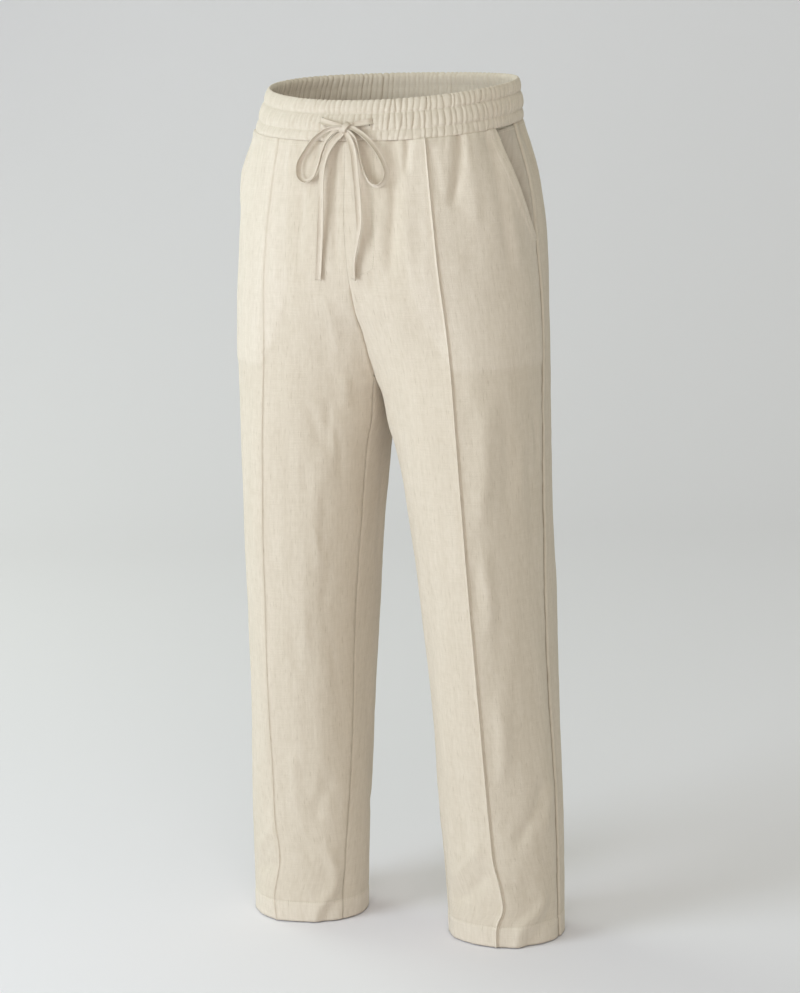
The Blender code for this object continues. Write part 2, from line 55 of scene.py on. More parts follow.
GAP = 0.0003          # between pieces at a seam
CROTCH_H = 0.690      # crotch point
CROTCH_Y = -0.066
EXP_LEG = 2.15        # superellipse powers
EXP_HIP = 2.3
PULL_WIDTH = 0.80     # radians over which the centre seam pulls the outline
PIN_HALF = 0.0012     # pintuck: half width and height of its ridge
PIN_HIGH = 0.0014
POCKET_BOTTOM = 0.845  # where the slant meets the side seam
BAG_BOTTOM = 0.705
BAND_WALL = 0.0026    # waistband: two layers and elastic
CHANNEL_PUFF = 0.0018  # how far a channel stands out between its stitch lines
TAPE_WIDE = 0.0080    # drawstring
TAPE_THICK = 0.0012

# leg axis and superellipse, and how far the inner side is pushed in under the crotch
LEG_COLUMNS = ("height", "x", "y", "half_width", "half_depth", "inner_push")
LEG = (
    (-0.02, 0.1341, -0.0284, 0.0719, 0.0620, 0.0000),
    (0.00, 0.1337, -0.0278, 0.0723, 0.0627, 0.0000),
    (0.12, 0.1309, -0.0234, 0.0747, 0.0681, 0.0000),
    (0.30, 0.1235, -0.0163, 0.0744, 0.0869, 0.0000),
    (0.50, 0.1128, -0.0141, 0.0817, 0.0988, 0.0000),
    (0.57, 0.1078, -0.0135, 0.0861, 0.1008, 0.0004),
    (0.61, 0.1050, -0.0131, 0.0888, 0.1018, 0.0036),
    (0.634, 0.1034, -0.0129, 0.0905, 0.1022, 0.0078),
    (0.668, 0.1012, -0.0126, 0.0928, 0.1024, 0.0102),
    (0.690, 0.1001, -0.0125, 0.0945, 0.1022, 0.0160),
    (0.76, 0.0967, -0.0119, 0.0997, 0.1011, 0.0160),
    (0.90, 0.0930, -0.0110, 0.1050, 0.1000, 0.0160),
    (1.05, 0.0900, -0.0100, 0.1050, 0.1000, 0.0160),
)
# hips and waist
HIP_COLUMNS = ("height", "half_width", "half_depth", "y")
HIP = (
    (0.50, 0.1930, 0.1260, -0.0120),
    (0.60, 0.1935, 0.1290, -0.0110),
    (0.70, 0.1938, 0.1310, -0.0090),
    (0.76, 0.1931, 0.1335, -0.0065),
    (0.84, 0.1896, 0.1371, -0.0004),
    (0.92, 0.1813, 0.1289, 0.0007),
    (0.985, 0.1636, 0.1187, -0.0002),
    (1.02, 0.1560, 0.1140, 0.0000),
)
# centre seams, waist to crotch
FRONT_SEAM = (
    (1.02, -0.1170), (0.985, -0.1189), (0.92, -0.1282), (0.86, -0.1318), (0.8136, -0.1243),
    (0.7753, -0.1117), (0.7466, -0.0937), (0.7207, -0.0812), (0.70, -0.0704), (CROTCH_H, CROTCH_Y),
)
BACK_SEAM = (
    (1.02, 0.1140), (0.985, 0.1185), (0.92, 0.1296), (0.84, 0.1367), (0.80, 0.1300),
    (0.765, 0.1140), (0.738, 0.0910), (0.716, 0.0620), (0.702, 0.0300), (0.694, -0.0050),
    (0.6908, -0.0400), (CROTCH_H, CROTCH_Y),
)
# (height, x) of the pintuck; (height, y behind the leg axis) of the side seam;
# (height, angle) of the inseam; (height, reach) of the pocket's slant before the side seam;
# (height, x) of the pocket bag's inner edge
PINTUCK = ((-0.02, 0.1480), (0, 0.1485), (0.2, 0.143), (0.4, 0.136), (0.6, 0.1275), (0.72, 0.1207), (0.86, 0.1083), (0.985, 0.094), (1.02, 0.090))
SIDE_SEAM = ((-0.02, -0.0047), (0, -0.0047), (0.2, -0.0062), (0.4, -0.0064), (0.6, -0.001), (0.75, 0.004), (0.85, 0.008), (0.95, 0.009), (1.02, 0.010))
INSEAM = ((-0.02, -1.02), (0, -1.025), (0.2, -1.135), (0.4, -1.165), (0.6, -1.150), (0.66, -1.130), (CROTCH_H, -1.0803))
SLANT = ((0.80, 0.0), (POCKET_BOTTOM, 0.0), (0.881, 0.016), (0.916, 0.028), (0.949, 0.038), (1.0, 0.046))
BAG_EDGE = ((0.70, 0.128), (0.712, 0.122), (0.735, 0.108), (0.79, 0.084), (0.86, 0.076), (1.0, 0.074))
# waistband's top edge
RIM = {"half_width": 0.1564, "half_depth": 0.1109, "y": 0.0125, "height": 1.0336, "tilt": 0.0795, "saddle": 0.0051}
CHANNELS = (0.0, 0.27, 0.69, 1.0)  # stitch lines up the band, as fractions

# rows of each leg piece, by height at the side seam; the crotch point starts one of them
ROW_HEIGHTS = (0.986, 0.966, 0.940, 0.912, 0.880, 0.845, 0.808, 0.771, 0.737, 0.705, 0.672, 0.635,
               0.595, 0.550, 0.495, 0.435, 0.370, 0.305, 0.240, 0.180, 0.125, 0.080, 0.046, 0.0262,
               0.0250, 0.0)
CROTCH_ROW = {"front": 10, "back": 10}

# ---------------------------------------------------------------- outer surface
def smooth(table, x, column=1):
    """Cubic Hermite through one column of a table, tangents from the neighbours."""
    rows = np.array(sorted(table), float)
    xs, ys = rows[:, 0], rows[:, column]
    slope = np.diff(ys) / np.diff(xs)
    h = np.diff(xs)
    m = np.concatenate([slope[:1], (slope[:-1] * h[1:] + slope[1:] * h[:-1]) / (h[1:] + h[:-1]), slope[-1:]])
    x = np.clip(np.asarray(x, float), xs[0], xs[-1])
    i = np.clip(np.searchsorted(xs, x, side="right") - 1, 0, len(xs) - 2)
    t = (x - xs[i]) / h[i]
    return (ys[i] * (1 + 2 * t) * (1 - t) ** 2 + m[i] * h[i] * t * (1 - t) ** 2
            + ys[i + 1] * t * t * (3 - 2 * t) + m[i + 1] * h[i] * t * t * (t - 1))


def leg(name, height):
    return smooth(LEG, height, LEG_COLUMNS.index(name))


def hip(name, height):
    return smooth(HIP, height, HIP_COLUMNS.index(name))


def step(x, low, high):
    t = np.clip((np.asarray(x, float) - low) / (np.asarray(high) - low), 0, 1)
    return t * t * (3 - 2 * t)


def leg_radius(phi, height):
    a, b = leg("half_width", height), leg("half_depth", height)
    return ((np.abs(np.sin(phi)) / a) ** EXP_LEG + (np.abs(np.cos(phi)) / b) ** EXP_LEG) ** (-1 / EXP_LEG)


def hip_radius(phi, height):
    """Where a ray from the leg's axis meets the hips' superellipse."""
    cx, cy = leg("x", height), leg("y", height)
    a, b, y = hip("half_width", height), hip("half_depth", height), hip("y", height)
    low = np.zeros(np.broadcast(phi, height).shape)
    high = low + 0.45
    for _ in range(30):
        r = (low + high) / 2
        inside = (np.abs((cx + r * np.sin(phi)) / a) ** EXP_HIP
                  + np.abs((cy - r * np.cos(phi) - y) / b) ** EXP_HIP) < 1
        low, high = np.where(inside, r, low), np.where(inside, high, r)
    return (low + high) / 2


def plain_radius(phi, height):
    """From the leg's outline to the hips', over a longer drop behind, where the cloth hangs from the seat."""
    behind = step(-np.cos(phi), 0.60, 1.0)
    w = step(height, 0.70 - 0.15 * behind, 0.84 + 0.03 * behind)
    return (1 - w) * leg_radius(phi, height) + w * hip_radius(phi, height)


def inner_edge(which, height):
    """(phi, r) of the centre seam above the crotch, and of the inseam below."""
    up = np.maximum(height, CROTCH_H)
    y = smooth(FRONT_SEAM if which == "front" else BACK_SEAM, up)
    cx, cy = leg("x", height), leg("y", height)
    phi = np.arctan2(-cx, cy - y)
    r = np.hypot(cx, y - cy)
    below = np.asarray(height) < CROTCH_H
    phi = np.where(below, smooth(INSEAM, np.minimum(height, CROTCH_H)), phi)
    r = np.where(below, leg_radius(phi, height) + leg("inner_push", height), r)
    if which == "back":
        phi = np.where(phi < 0, phi + 2 * pi, phi)
    return phi, r


def pull(q, round_off):
    """How the centre seam's pull fades over the outline: a crease at the seam, or rounded off."""
    q = np.clip(np.abs(q), 0, 1)
    crease = (1 - q) ** 2 * (1 + 0.6 * q)
    return crease + ((1 - q * q) ** 2 * (1 - 0.45 * q) - crease) * round_off


def surface(phi, height):
    """Points of the left half's outer surface."""
    phi, height = np.broadcast_arrays(np.asarray(phi, float), np.asarray(height, float))
    plain = plain_radius(phi, height)
    r = plain.copy()
    round_off = step(CROTCH_H - height, 0.0, 0.04)
    for which in ("front", "back"):
        edge, r_edge = inner_edge(which, height)
        q = (phi - edge) / PULL_WIDTH if which == "front" else (edge - phi) / PULL_WIDTH
        r = r + (r_edge - plain_radius(edge, height)) * pull(q, round_off)
    x = leg("x", height) + r * np.sin(phi)
    x = np.maximum(x, 0.0009 * step(CROTCH_H - height, 0, 0.01))
    return np.stack([x + GAP / 2, leg("y", height) - r * np.cos(phi), height - WAIST], -1)


def radius_at(phi, height):
    p = surface(phi, height)
    return np.hypot(p[..., 0] - leg("x", height), p[..., 1] - leg("y", height))


def phi_at_x(x, height):
    """The front direction in which the surface has this x."""
    phi = np.zeros(np.broadcast(x, height).shape)
    for _ in range(12):
        phi = np.arcsin(np.clip((x - leg("x", height)) / radius_at(phi, height), -0.98, 0.98))
    return phi


def phi_side(height):
    """The side seam's direction."""
    phi = np.full(np.shape(height), pi / 2)
    for _ in range(6):
        phi = pi / 2 + np.arcsin(smooth(SIDE_SEAM, height) / radius_at(phi, height))
    return phi


def waist_seam(phi):
    """Height of the seam under the waistband, lower in front."""
    height = np.full(np.shape(phi), 0.985)
    for _ in range(5):
        y = surface(phi, height)[..., 1]
        height = 0.986 + 0.0604 * y - 0.2604 * y * y
    return height


def normals(phi, height, on_centre):
    """Outward normals; on_centre marks the points of a centre seam, where the cloth has one side only."""
    dp, dh = 0.004, 0.0005
    top = np.where(on_centre | (np.abs(height - CROTCH_H) < 0.0006), 0.0, dh)
    right = surface(phi + dp, height)
    left = surface(np.where(on_centre, phi, phi - dp), height)
    n = np.cross(right - left, surface(phi, height + top) - surface(phi, height - dh))
    n /= np.linalg.norm(n, axis=-1, keepdims=True)
    n[..., 0] = np.where(on_centre, np.minimum(n[..., 0], 0), n[..., 0])
    return n / np.linalg.norm(n, axis=-1, keepdims=True)


# ---------------------------------------------------------------- leg pieces as grids
def seam_heights(which, count):
    """Heights of count + 1 points, equally spaced along the centre seam from waist to crotch."""
    table = FRONT_SEAM if which == "front" else BACK_SEAM
    phi0 = inner_edge(which, 0.98)[0]
    top = float(waist_seam(phi0))
    # the seam is steep at the top and flat at the crotch, so it is walked finely
    t = np.linspace(0, 1, 4001) ** 2.5
    h = CROTCH_H + (top - CROTCH_H) * t[::-1]
    y = smooth(table, h)
    along = np.concatenate([[0], np.cumsum(np.hypot(np.diff(h), np.diff(y)))])
    outer = np.array(ROW_HEIGHTS[: count + 1])
    wanted = (outer[0] - outer) / (outer[0] - outer[-1]) * along[-1]
    return np.interp(wanted, along, h)


def piece_rows(which):
    """(inner edge height, side seam height) of each row."""
    k = CROTCH_ROW[which]
    outer = np.array(ROW_HEIGHTS)
    inner = np.empty_like(outer)
    inner[: k + 1] = seam_heights(which, k)
    inner[k] = CROTCH_H
    rest = outer[k + 1:]
    inner[k + 1:] = rest + (CROTCH_H - outer[k]) * np.clip((rest - 0.046) / (outer[k] - 0.046), 0, 1)
    return inner, outer


def front_edge(height):
    """The front piece's outer edge: the pocket's slant, and the side seam under it."""
    side = phi_side(height)
    reach = np.where(height > POCKET_BOTTOM, smooth(SLANT, height), 0.0)
    return side - (np.maximum(reach, 0) + GAP / 2) / radius_at(side, height)


def rim_point(angle):
    """The waistband's top edge in a direction about the waist's axis, 0 to the front."""
    s, c = np.sin(angle), np.cos(angle)
    r = 1 / np.hypot(s / RIM["half_width"], c / RIM["half_depth"])
    y = RIM["y"] - r * c
    share = np.abs(r * c / RIM["half_depth"])
    return np.stack([r * s, y, RIM["height"] + RIM["tilt"] * (y - RIM["y"]) - RIM["saddle"] * share**2 - WAIST], -1)


def band_line(count):
    """Bottom and top points of the band round one half, front centre to back centre, both ends included."""
    front, back = float(inner_edge("front", 0.976)[0]), float(inner_edge("back", 0.990)[0])
    phi = front + (back - front) * np.linspace(0, 1, count)
    low = surface(phi, waist_seam(phi))
    low[:, 0] -= GAP / 2
    low[0, 0] = low[-1, 0] = 0
    angle = np.arctan2(low[:, 0], -low[:, 1])
    angle[-1] = pi
    return low, rim_point(angle)


def band_points(low, high, t, puff, depth):
    """Points at fraction t up the band, standing out by its channel's puff, moved in by depth."""
    flat = low + (high - low) * t
    out = flat * (1, 1, 0)
    centre = np.array([0, 0.006, 0])
    out = out - centre
    out /= np.linalg.norm(out, axis=1, keepdims=True)
    return flat + out * (puff - depth)


# ---------------------------------------------------------------- fine sizes
CLOTH = 0.0010        # the cloth as shown
ROW_STEP = 0.0034     # panel grids
BAND_COLUMNS = 1440   # round the waistband
GATHERS = (0.0052, 0.0084)  # spacing of the waistband's gathers
SEED = 41

# how far the pintuck strays near each hem, where the cloth breaks: side, (height, shift in x)
STRAY = {
    1: ((0.0, 0.0), (0.0297, 0.0020), (0.0432, 0.0075), (0.0736, 0.0068), (0.1063, 0.0012), (0.14, 0.0)),
    -1: ((0.0, 0.0), (0.0287, 0.0020), (0.0599, -0.0037), (0.0807, -0.0068), (0.1015, -0.0055), (0.1322, -0.0007), (0.16, 0.0)),
}

# folds placed one by one: side (1 the wearer's left), half width, height (+ ridge, - trough), and the
# line as (direction, height above the hems)
FOLDS = (
    # front of the hips, from the waist seam down
    (-1, 0.0048, -0.0010, ((-0.307, 0.9322), (-0.313, 0.9068), (-0.296, 0.8778), (-0.261, 0.8484), (-0.233, 0.8187))),
    (-1, 0.0031, -0.0014, ((-0.615, 0.9672), (-0.600, 0.9306), (-0.595, 0.8904), (-0.601, 0.8495), (-0.619, 0.8135))),
    (-1, 0.0036, -0.0014, ((-0.735, 0.9735), (-0.730, 0.9550), (-0.722, 0.9300), (-0.712, 0.9000))),
    (1, 0.0042, -0.0015, ((-0.551, 0.9445), (-0.514, 0.9194), (-0.482, 0.8908), (-0.469, 0.8619), (-0.480, 0.8361))),
    (1, 0.0040, -0.0011, ((-0.489, 0.8290), (-0.491, 0.8148), (-0.522, 0.7979))),
    (1, 0.0058, -0.0026, ((-0.294, 0.9735), (-0.280, 0.9534), (-0.266, 0.9193), (-0.277, 0.8794), (-0.306, 0.8389), (-0.332, 0.8035))),
    (1, 0.0036, -0.0014, ((-0.151, 0.9745), (-0.154, 0.9554), (-0.165, 0.9328))),
    (1, 0.0046, -0.0025, ((0.472, 0.9757), (0.453, 0.9567), (0.423, 0.9376), (0.368, 0.9118), (0.335, 0.8892))),
    (1, 0.0071, -0.0017, ((0.937, 0.9720), (0.938, 0.9370), (0.948, 0.9084), (0.979, 0.8736), (1.018, 0.8385), (1.013, 0.8096))),
    (1, 0.0071, 0.0012, ((1.040, 0.8961), (1.101, 0.8690), (1.137, 0.8432), (1.146, 0.8140))),
    (1, 0.0083, 0.0010, ((-0.200, 0.9192), (-0.167, 0.8850), (-0.130, 0.8563), (-0.099, 0.8274))),
    (1, 0.0083, 0.0010, ((0.611, 0.9616), (0.598, 0.9220), (0.597, 0.8878), (0.602, 0.8591))),
    (1, 0.0054, -0.0009, ((0.094, 0.9637), (0.163, 0.9296), (0.204, 0.9011))),
    # thighs and knees
    (-1, 0.0071, 0.0009, ((-0.485, 0.8012), (-0.541, 0.7768), (-0.608, 0.7453), (-0.659, 0.7203))),
    (-1, 0.0036, -0.0008, ((-0.539, 0.6753), (-0.569, 0.6446), (-0.580, 0.6076), (-0.624, 0.5886))),
    (-1, 0.0036, -0.0008, ((-0.629, 0.6405), (-0.714, 0.6139), (-0.746, 0.5800), (-0.786, 0.5583))),
    (-1, 0.0054, -0.0010, ((-0.343, 0.6637), (-0.405, 0.6416), (-0.481, 0.6193), (-0.510, 0.5982))),
    (-1, 0.0060, 0.0011, ((-0.745, 0.6988), (-0.781, 0.6738), (-0.780, 0.6492))),
    (-1, 0.0048, -0.0007, ((-0.295, 0.5990), (-0.326, 0.5682), (-0.369, 0.5371))),
    (-1, 0.0048, -0.0008, ((-0.519, 0.5672), (-0.554, 0.5359), (-0.541, 0.4986), (-0.602, 0.4666))),
    (-1, 0.0042, 0.0007, ((-0.435, 0.5181), (-0.494, 0.4802), (-0.526, 0.4485))),
    (-1, 0.0054, -0.0008, ((-0.657, 0.4660), (-0.611, 0.4287), (-0.561, 0.3975))),
    (-1, 0.0048, 0.0007, ((-0.296, 0.4181), (-0.335, 0.3798), (-0.375, 0.3413))),
    (-1, 0.0054, -0.0007, ((-0.146, 0.3798), (-0.211, 0.3479), (-0.264, 0.3158))),
    (-1, 0.0042, -0.0006, ((-0.683, 0.3643), (-0.755, 0.3315), (-0.834, 0.2984))),
    (1, 0.0095, 0.0022, ((0.621, 0.6904), (0.568, 0.6375), (0.516, 0.5903), (0.402, 0.5311), (0.338, 0.5012))),
    (1, 0.0071, 0.0017, ((0.367, 0.5071), (0.407, 0.4707), (0.430, 0.4389), (0.418, 0.4096), (0.363, 0.3730))),
    (1, 0.0071, -0.0010, ((0.237, 0.4833), (0.263, 0.4468), (0.273, 0.4162))),
    (1, 0.0083, -0.0010, ((0.834, 0.6706), (0.812, 0.6232), (0.787, 0.5756), (0.717, 0.5283))),
    (1, 0.0048, -0.0008, ((1.269, 0.6708), (1.320, 0.6401), (1.348, 0.6036), (1.286, 0.5563))),
    (1, 0.0060, 0.0009, ((1.033, 0.6323), (1.015, 0.5846), (0.957, 0.5372))),
    (1, 0.0083, 0.0018, ((0.404, 0.3233), (0.461, 0.2858), (0.485, 0.2544), (0.432, 0.2169), (0.353, 0.1917))),
    # the left hem's break
    (1, 0.0071, -0.0024, ((1.124, 0.2156), (1.036, 0.1799), (0.876, 0.1547), (0.681, 0.1339), (0.455, 0.1169))),
    (1, 0.0083, 0.0020, ((1.414, 0.2076), (1.285, 0.1755), (1.166, 0.1467), (1.012, 0.1242))),
    (1, 0.0083, 0.0028, ((0.117, 0.1362), (-0.098, 0.1156), (-0.432, 0.0915), (-0.859, 0.0674))),
    (1, 0.0077, -0.0028, ((0.196, 0.1010), (-0.060, 0.0765), (-0.382, 0.0592), (-0.873, 0.0442))),
    (1, 0.0071, 0.0030, ((1.137, 0.0721), (1.112, 0.0574), (0.989, 0.0402), (0.785, 0.0297), (0.638, 0.0140), (0.597, 0.0001))),
    (1, 0.0071, -0.0018, ((1.295, 0.0502), (1.192, 0.0294), (0.983, 0.0150), (0.831, 0.0039))),
    (1, 0.0071, -0.0012, ((0.420, 0.0840), (0.590, 0.0737), (0.797, 0.0713), (0.998, 0.0767))),
    # the right hem's break
    (-1, 0.0071, 0.0025, ((0.200, 0.1300), (0.407, 0.1085), (0.655, 0.0889), (0.850, 0.0760))),
    (-1, 0.0065, -0.0025, ((0.102, 0.0803), (0.339, 0.0700), (0.618, 0.0633), (0.850, 0.0600))),
    (-1, 0.0071, 0.0017, ((-0.110, 0.2268), (-0.149, 0.1914), (-0.157, 0.1584), (-0.092, 0.1383))),
    (-1, 0.0083, -0.0015, ((-0.743, 0.1966), (-0.655, 0.1648), (-0.561, 0.1430), (-0.459, 0.1249))),
    (-1, 0.0077, 0.0027, ((-0.566, 0.1090), (-0.725, 0.0900), (-0.852, 0.0707), (-0.900, 0.0519), (-0.802, 0.0345), (-0.622, 0.0211), (-0.528, 0.0041))),
    (-1, 0.0065, -0.0016, ((-1.039, 0.0659), (-1.043, 0.0449), (-0.931, 0.0267), (-0.749, 0.0139), (-0.658, 0.0012))),
    (-1, 0.0065, -0.0010, ((-0.164, 0.1189), (-0.313, 0.0998), (-0.459, 0.0777))),
    # outer side and back, of the same kind: hips, seat, back of the knee, back of the hem
    (-1, 0.0060, -0.0016, ((1.02, 0.965), (1.05, 0.930), (1.06, 0.895), (1.04, 0.860))),
    (-1, 0.0070, 0.0011, ((1.30, 0.760), (1.27, 0.715), (1.28, 0.660))),
    (-1, 0.0060, -0.0009, ((1.05, 0.640), (1.10, 0.590), (1.08, 0.540))),
    (1, 0.0065, -0.0018, ((2.02, 0.985), (2.06, 0.950), (2.10, 0.905), (2.10, 0.865))),
    (-1, 0.0060, -0.0020, ((1.98, 0.984), (2.03, 0.945), (2.05, 0.900))),
    (1, 0.0050, -0.0016, ((2.75, 0.988), (2.72, 0.955), (2.70, 0.920))),
    (-1, 0.0055, -0.0018, ((2.80, 0.988), (2.78, 0.950), (2.74, 0.905))),
    (1, 0.0055, -0.0014, ((3.35, 0.989), (3.36, 0.955), (3.35, 0.925))),
    (-1, 0.0050, -0.0012, ((3.42, 0.989), (3.40, 0.960), (3.40, 0.935))),
    (1, 0.0100, -0.0024, ((3.66, 0.745), (3.45, 0.716), (3.15, 0.694), (2.80, 0.682), (2.45, 0.684))),
    (-1, 0.0100, -0.0022, ((3.66, 0.748), (3.42, 0.722), (3.10, 0.703), (2.75, 0.694), (2.35, 0.699))),
    (1, 0.0095, 0.0016, ((3.45, 0.690), (3.15, 0.668), (2.85, 0.660))),
    (-1, 0.0095, 0.0014, ((3.42, 0.694), (3.10, 0.675), (2.80, 0.668))),
    (1, 0.0080, -0.0014, ((3.72, 0.700), (3.62, 0.660), (3.52, 0.610), (3.44, 0.560))),
    (-1, 0.0080, -0.0015, ((3.70, 0.702), (3.60, 0.655), (3.54, 0.600), (3.46, 0.545))),
    (1, 0.0090, 0.0012, ((2.70, 0.640), (2.62, 0.560), (2.64, 0.480))),
    (-1, 0.0090, 0.0012, ((2.60, 0.650), (2.66, 0.570), (2.62, 0.500))),
    (1, 0.0075, -0.0017, ((2.20, 0.512), (2.52, 0.492), (2.88, 0.486), (3.20, 0.495))),
    (-1, 0.0075, -0.0016, ((2.30, 0.478), (2.62, 0.470), (2.95, 0.478), (3.25, 0.498))),
    (1, 0.0070, -0.0013, ((2.45, 0.452), (2.75, 0.440), (3.05, 0.444), (3.38, 0.462))),
    (-1, 0.0070, -0.0014, ((2.15, 0.520), (2.45, 0.522), (2.80, 0.534), (3.15, 0.552))),
    (1, 0.0085, 0.0012, ((2.40, 0.472), (2.75, 0.464), (3.10, 0.470))),
    (-1, 0.0085, 0.0012, ((2.35, 0.500), (2.70, 0.502), (3.05, 0.512))),
    (1, 0.0085, -0.0013, ((3.05, 0.400), (3.12, 0.330), (3.10, 0.260))),
    (-1, 0.0085, -0.0013, ((3.15, 0.405), (3.08, 0.335), (3.12, 0.255))),
    (1, 0.0078, -0.0021, ((2.10, 0.150), (2.45, 0.122), (2.85, 0.110), (3.25, 0.118))),
    (-1, 0.0078, -0.0022, ((2.05, 0.130), (2.42, 0.108), (2.80, 0.102), (3.20, 0.116))),
    (1, 0.0080, 0.0022, ((2.20, 0.122), (2.52, 0.096), (2.88, 0.085), (3.22, 0.092))),
    (-1, 0.0080, 0.0021, ((2.15, 0.104), (2.50, 0.084), (2.85, 0.078), (3.18, 0.090))),
    (1, 0.0070, -0.0015, ((2.60, 0.055), (2.95, 0.046), (3.30, 0.052))),
    (-1, 0.0070, -0.0014, ((2.40, 0.050), (2.80, 0.044), (3.15, 0.050))),
    (1, 0.0075, -0.0014, ((4.30, 0.160), (4.05, 0.120), (3.75, 0.098))),
    (-1, 0.0075, -0.0014, ((4.35, 0.150), (4.08, 0.112), (3.80, 0.094))),
    (1, 0.0070, 0.0011, ((4.90, 0.560), (4.80, 0.480), (4.84, 0.400))),
    (-1, 0.0070, -0.0010, ((4.60, 0.580), (4.50, 0.500), (4.52, 0.430))),
    (1, 0.0070, -0.0010, ((4.40, 0.420), (4.36, 0.340), (4.40, 0.270))),
)


# ---------------------------------------------------------------- helpers
def noise(p, seed):
    """Smooth value noise, -1 to 1, of points (..., 3)."""
    i = np.floor(p).astype(np.int64)
    f = p - i
    f = f * f * f * (f * (f * 6 - 15) + 10)
    total = np.zeros(p.shape[:-1])
    for dx in (0, 1):
        for dy in (0, 1):
            for dz in (0, 1):
                h = (i[..., 0] + dx) * 374761393 + (i[..., 1] + dy) * 668265263 + (i[..., 2] + dz) * 1013904223 + seed * 69069
                h = (h ^ (h >> 13)) & 0xFFFFFFFF
                h = (h * 1274126177) & 0xFFFFFFFF
                h = h ^ (h >> 16)
                w = (np.where(dx, f[..., 0], 1 - f[..., 0]) * np.where(dy, f[..., 1], 1 - f[..., 1])
                     * np.where(dz, f[..., 2], 1 - f[..., 2]))
                total += w * ((h & 0xFFFF) / 32767.5 - 1)
    return total


def through(points, count):
    """A smooth curve of count points through these, at equal lengths."""
    pts = np.asarray(points, float)
    along = np.concatenate([[0], np.cumsum(np.linalg.norm(np.diff(pts[:, :3], axis=0), axis=1))])
    table = [(a, *p) for a, p in zip(along, pts)]
    s = np.linspace(0, along[-1], count)
    return np.stack([smooth(table, s, k) for k in range(1, pts.shape[1] + 1)], -1)


def fold_lines():
    made = []
    for side, wide, high, rows in FOLDS:
        rows = np.array(rows)
        middle = rows[:, 1].mean()
        wide, high = wide * (1.2 if middle > 0.80 else 1.1), high * (1.15 if middle < 0.24 else 2.15 if middle > 0.80 else 1.85)
        pts = surface(rows[:, 0], rows[:, 1]) * (side, 1, 1)
        n = normals(rows[:, 0], rows[:, 1], np.zeros(len(rows), bool)) * (side, 1, 1)
        line = through(np.hstack([pts, n]), 18)
        ends = (0.0 if rows[0, 1] > 0.955 else 0.28, 0.0 if rows[-1, 1] < 0.02 else 0.32)
        made.append((line[:, :3], line[:, 3:], wide, high, ends))
    return made


def gather_lines(rng, band):
    """Soft folds that fall from the waist seam, each under one of the band's creases."""
    made = []
    table = np.linspace(-1.15, 4.20, 1200)
    top_line = surface(table, waist_seam(table))
    for here, deep in zip(band["at"], band["deep"]):
        k = int(np.argmin(np.abs(band["arc"] - here)))
        x, y = band["low"][k, :2]
        side = 1 if x >= 0 else -1
        j = int(np.argmin((top_line[:, 0] - abs(x)) ** 2 + (top_line[:, 1] - y) ** 2))
        phi = table[j]
        strong = band["strong"][k] * deep
        if rng.uniform() < 0.25:
            continue
        down = -strong * rng.uniform(0.0010, 0.0027)
        long = rng.uniform(0.012, 0.034) if rng.uniform() < 0.62 else rng.uniform(0.040, 0.090)
        wide = rng.uniform(0.0022, 0.0036) if long < 0.036 else rng.uniform(0.0034, 0.0054)
        top = float(waist_seam(np.array([phi]))[0])
        drift = rng.normal(0, 0.010)
        rows = np.array([(phi + drift * q + rng.normal(0, 0.004) * (q > 0), top + 0.0004 - long * q / 4) for q in range(5)])
        pts = surface(rows[:, 0], rows[:, 1]) * (side, 1, 1)
        n = normals(rows[:, 0], rows[:, 1], np.zeros(5, bool)) * (side, 1, 1)
        line = through(np.hstack([pts, n]), 9)
        made.append((line[:, :3], line[:, 3:], wide, down, (0.0, 0.85)))
    return made


def fold_field(points, n, lines):
    total = np.zeros(points.shape[:-1])
    flat_p, flat_n = points.reshape(-1, 3), n.reshape(-1, 3)
    out = total.reshape(-1)
    for line, line_n, wide, high, (fade_in, fade_out) in lines:
        reach = 2.6 * wide
        near = np.all((flat_p > line.min(0) - reach) & (flat_p < line.max(0) + reach), axis=1)
        index = np.flatnonzero(near)
        if not len(index):
            continue
        p = flat_p[index]
        a, ab = line[:-1], np.diff(line, axis=0)
        length = np.linalg.norm(ab, axis=1)
        w = p[:, None] - a
        t = np.clip((w * ab).sum(-1) / (length**2), 0, 1)
        dist = np.linalg.norm(w - t[..., None] * ab, axis=-1)
        k = dist.argmin(1)
        rows = np.arange(len(index))
        best = dist[rows, k]
        u = (np.concatenate([[0], np.cumsum(length)])[k] + t[rows, k] * length[k]) / length.sum()
        fade = (step(u, 0, fade_in) if fade_in else 1.0) * (step(1 - u, 0, fade_out) if fade_out else 1.0)
        same = (flat_n[index] * line_n[k]).sum(-1) > 0.15
        out[index] += high * np.exp(-((best / wide) ** 2)) * fade * same
    return out.reshape(total.shape)


def linked(obj):
    bpy.context.scene.collection.objects.link(obj)
    return obj


def mesh_object(name, points, faces, finish, uv=None, attributes=None, smooth_shade=True):
    """A mesh from points, quads or triangles as index rows, and UVs per point."""
    mesh = bpy.data.meshes.new(name)
    mesh.from_pydata(np.asarray(points).reshape(-1, 3).tolist(), [], [tuple(f) for f in np.asarray(faces).tolist()] if isinstance(faces, np.ndarray) else faces)
    if uv is not None:
        layer = mesh.uv_layers.new(name="cloth")
        loops = np.empty(len(mesh.loops), np.int32)
        mesh.loops.foreach_get("vertex_index", loops)
        layer.data.foreach_set("uv", np.asarray(uv, np.float32).reshape(-1, 2)[loops].reshape(-1))
    for key, values in (attributes or {}).items():
        made = mesh.attributes.new(key, "FLOAT", "POINT")
        made.data.foreach_set("value", np.asarray(values, np.float32).reshape(-1))
    if smooth_shade:
        mesh.polygons.foreach_set("use_smooth", np.ones(len(mesh.polygons), bool))
    mesh.materials.append(finish)
    mesh.update()
    return linked(bpy.data.objects.new(name, mesh))


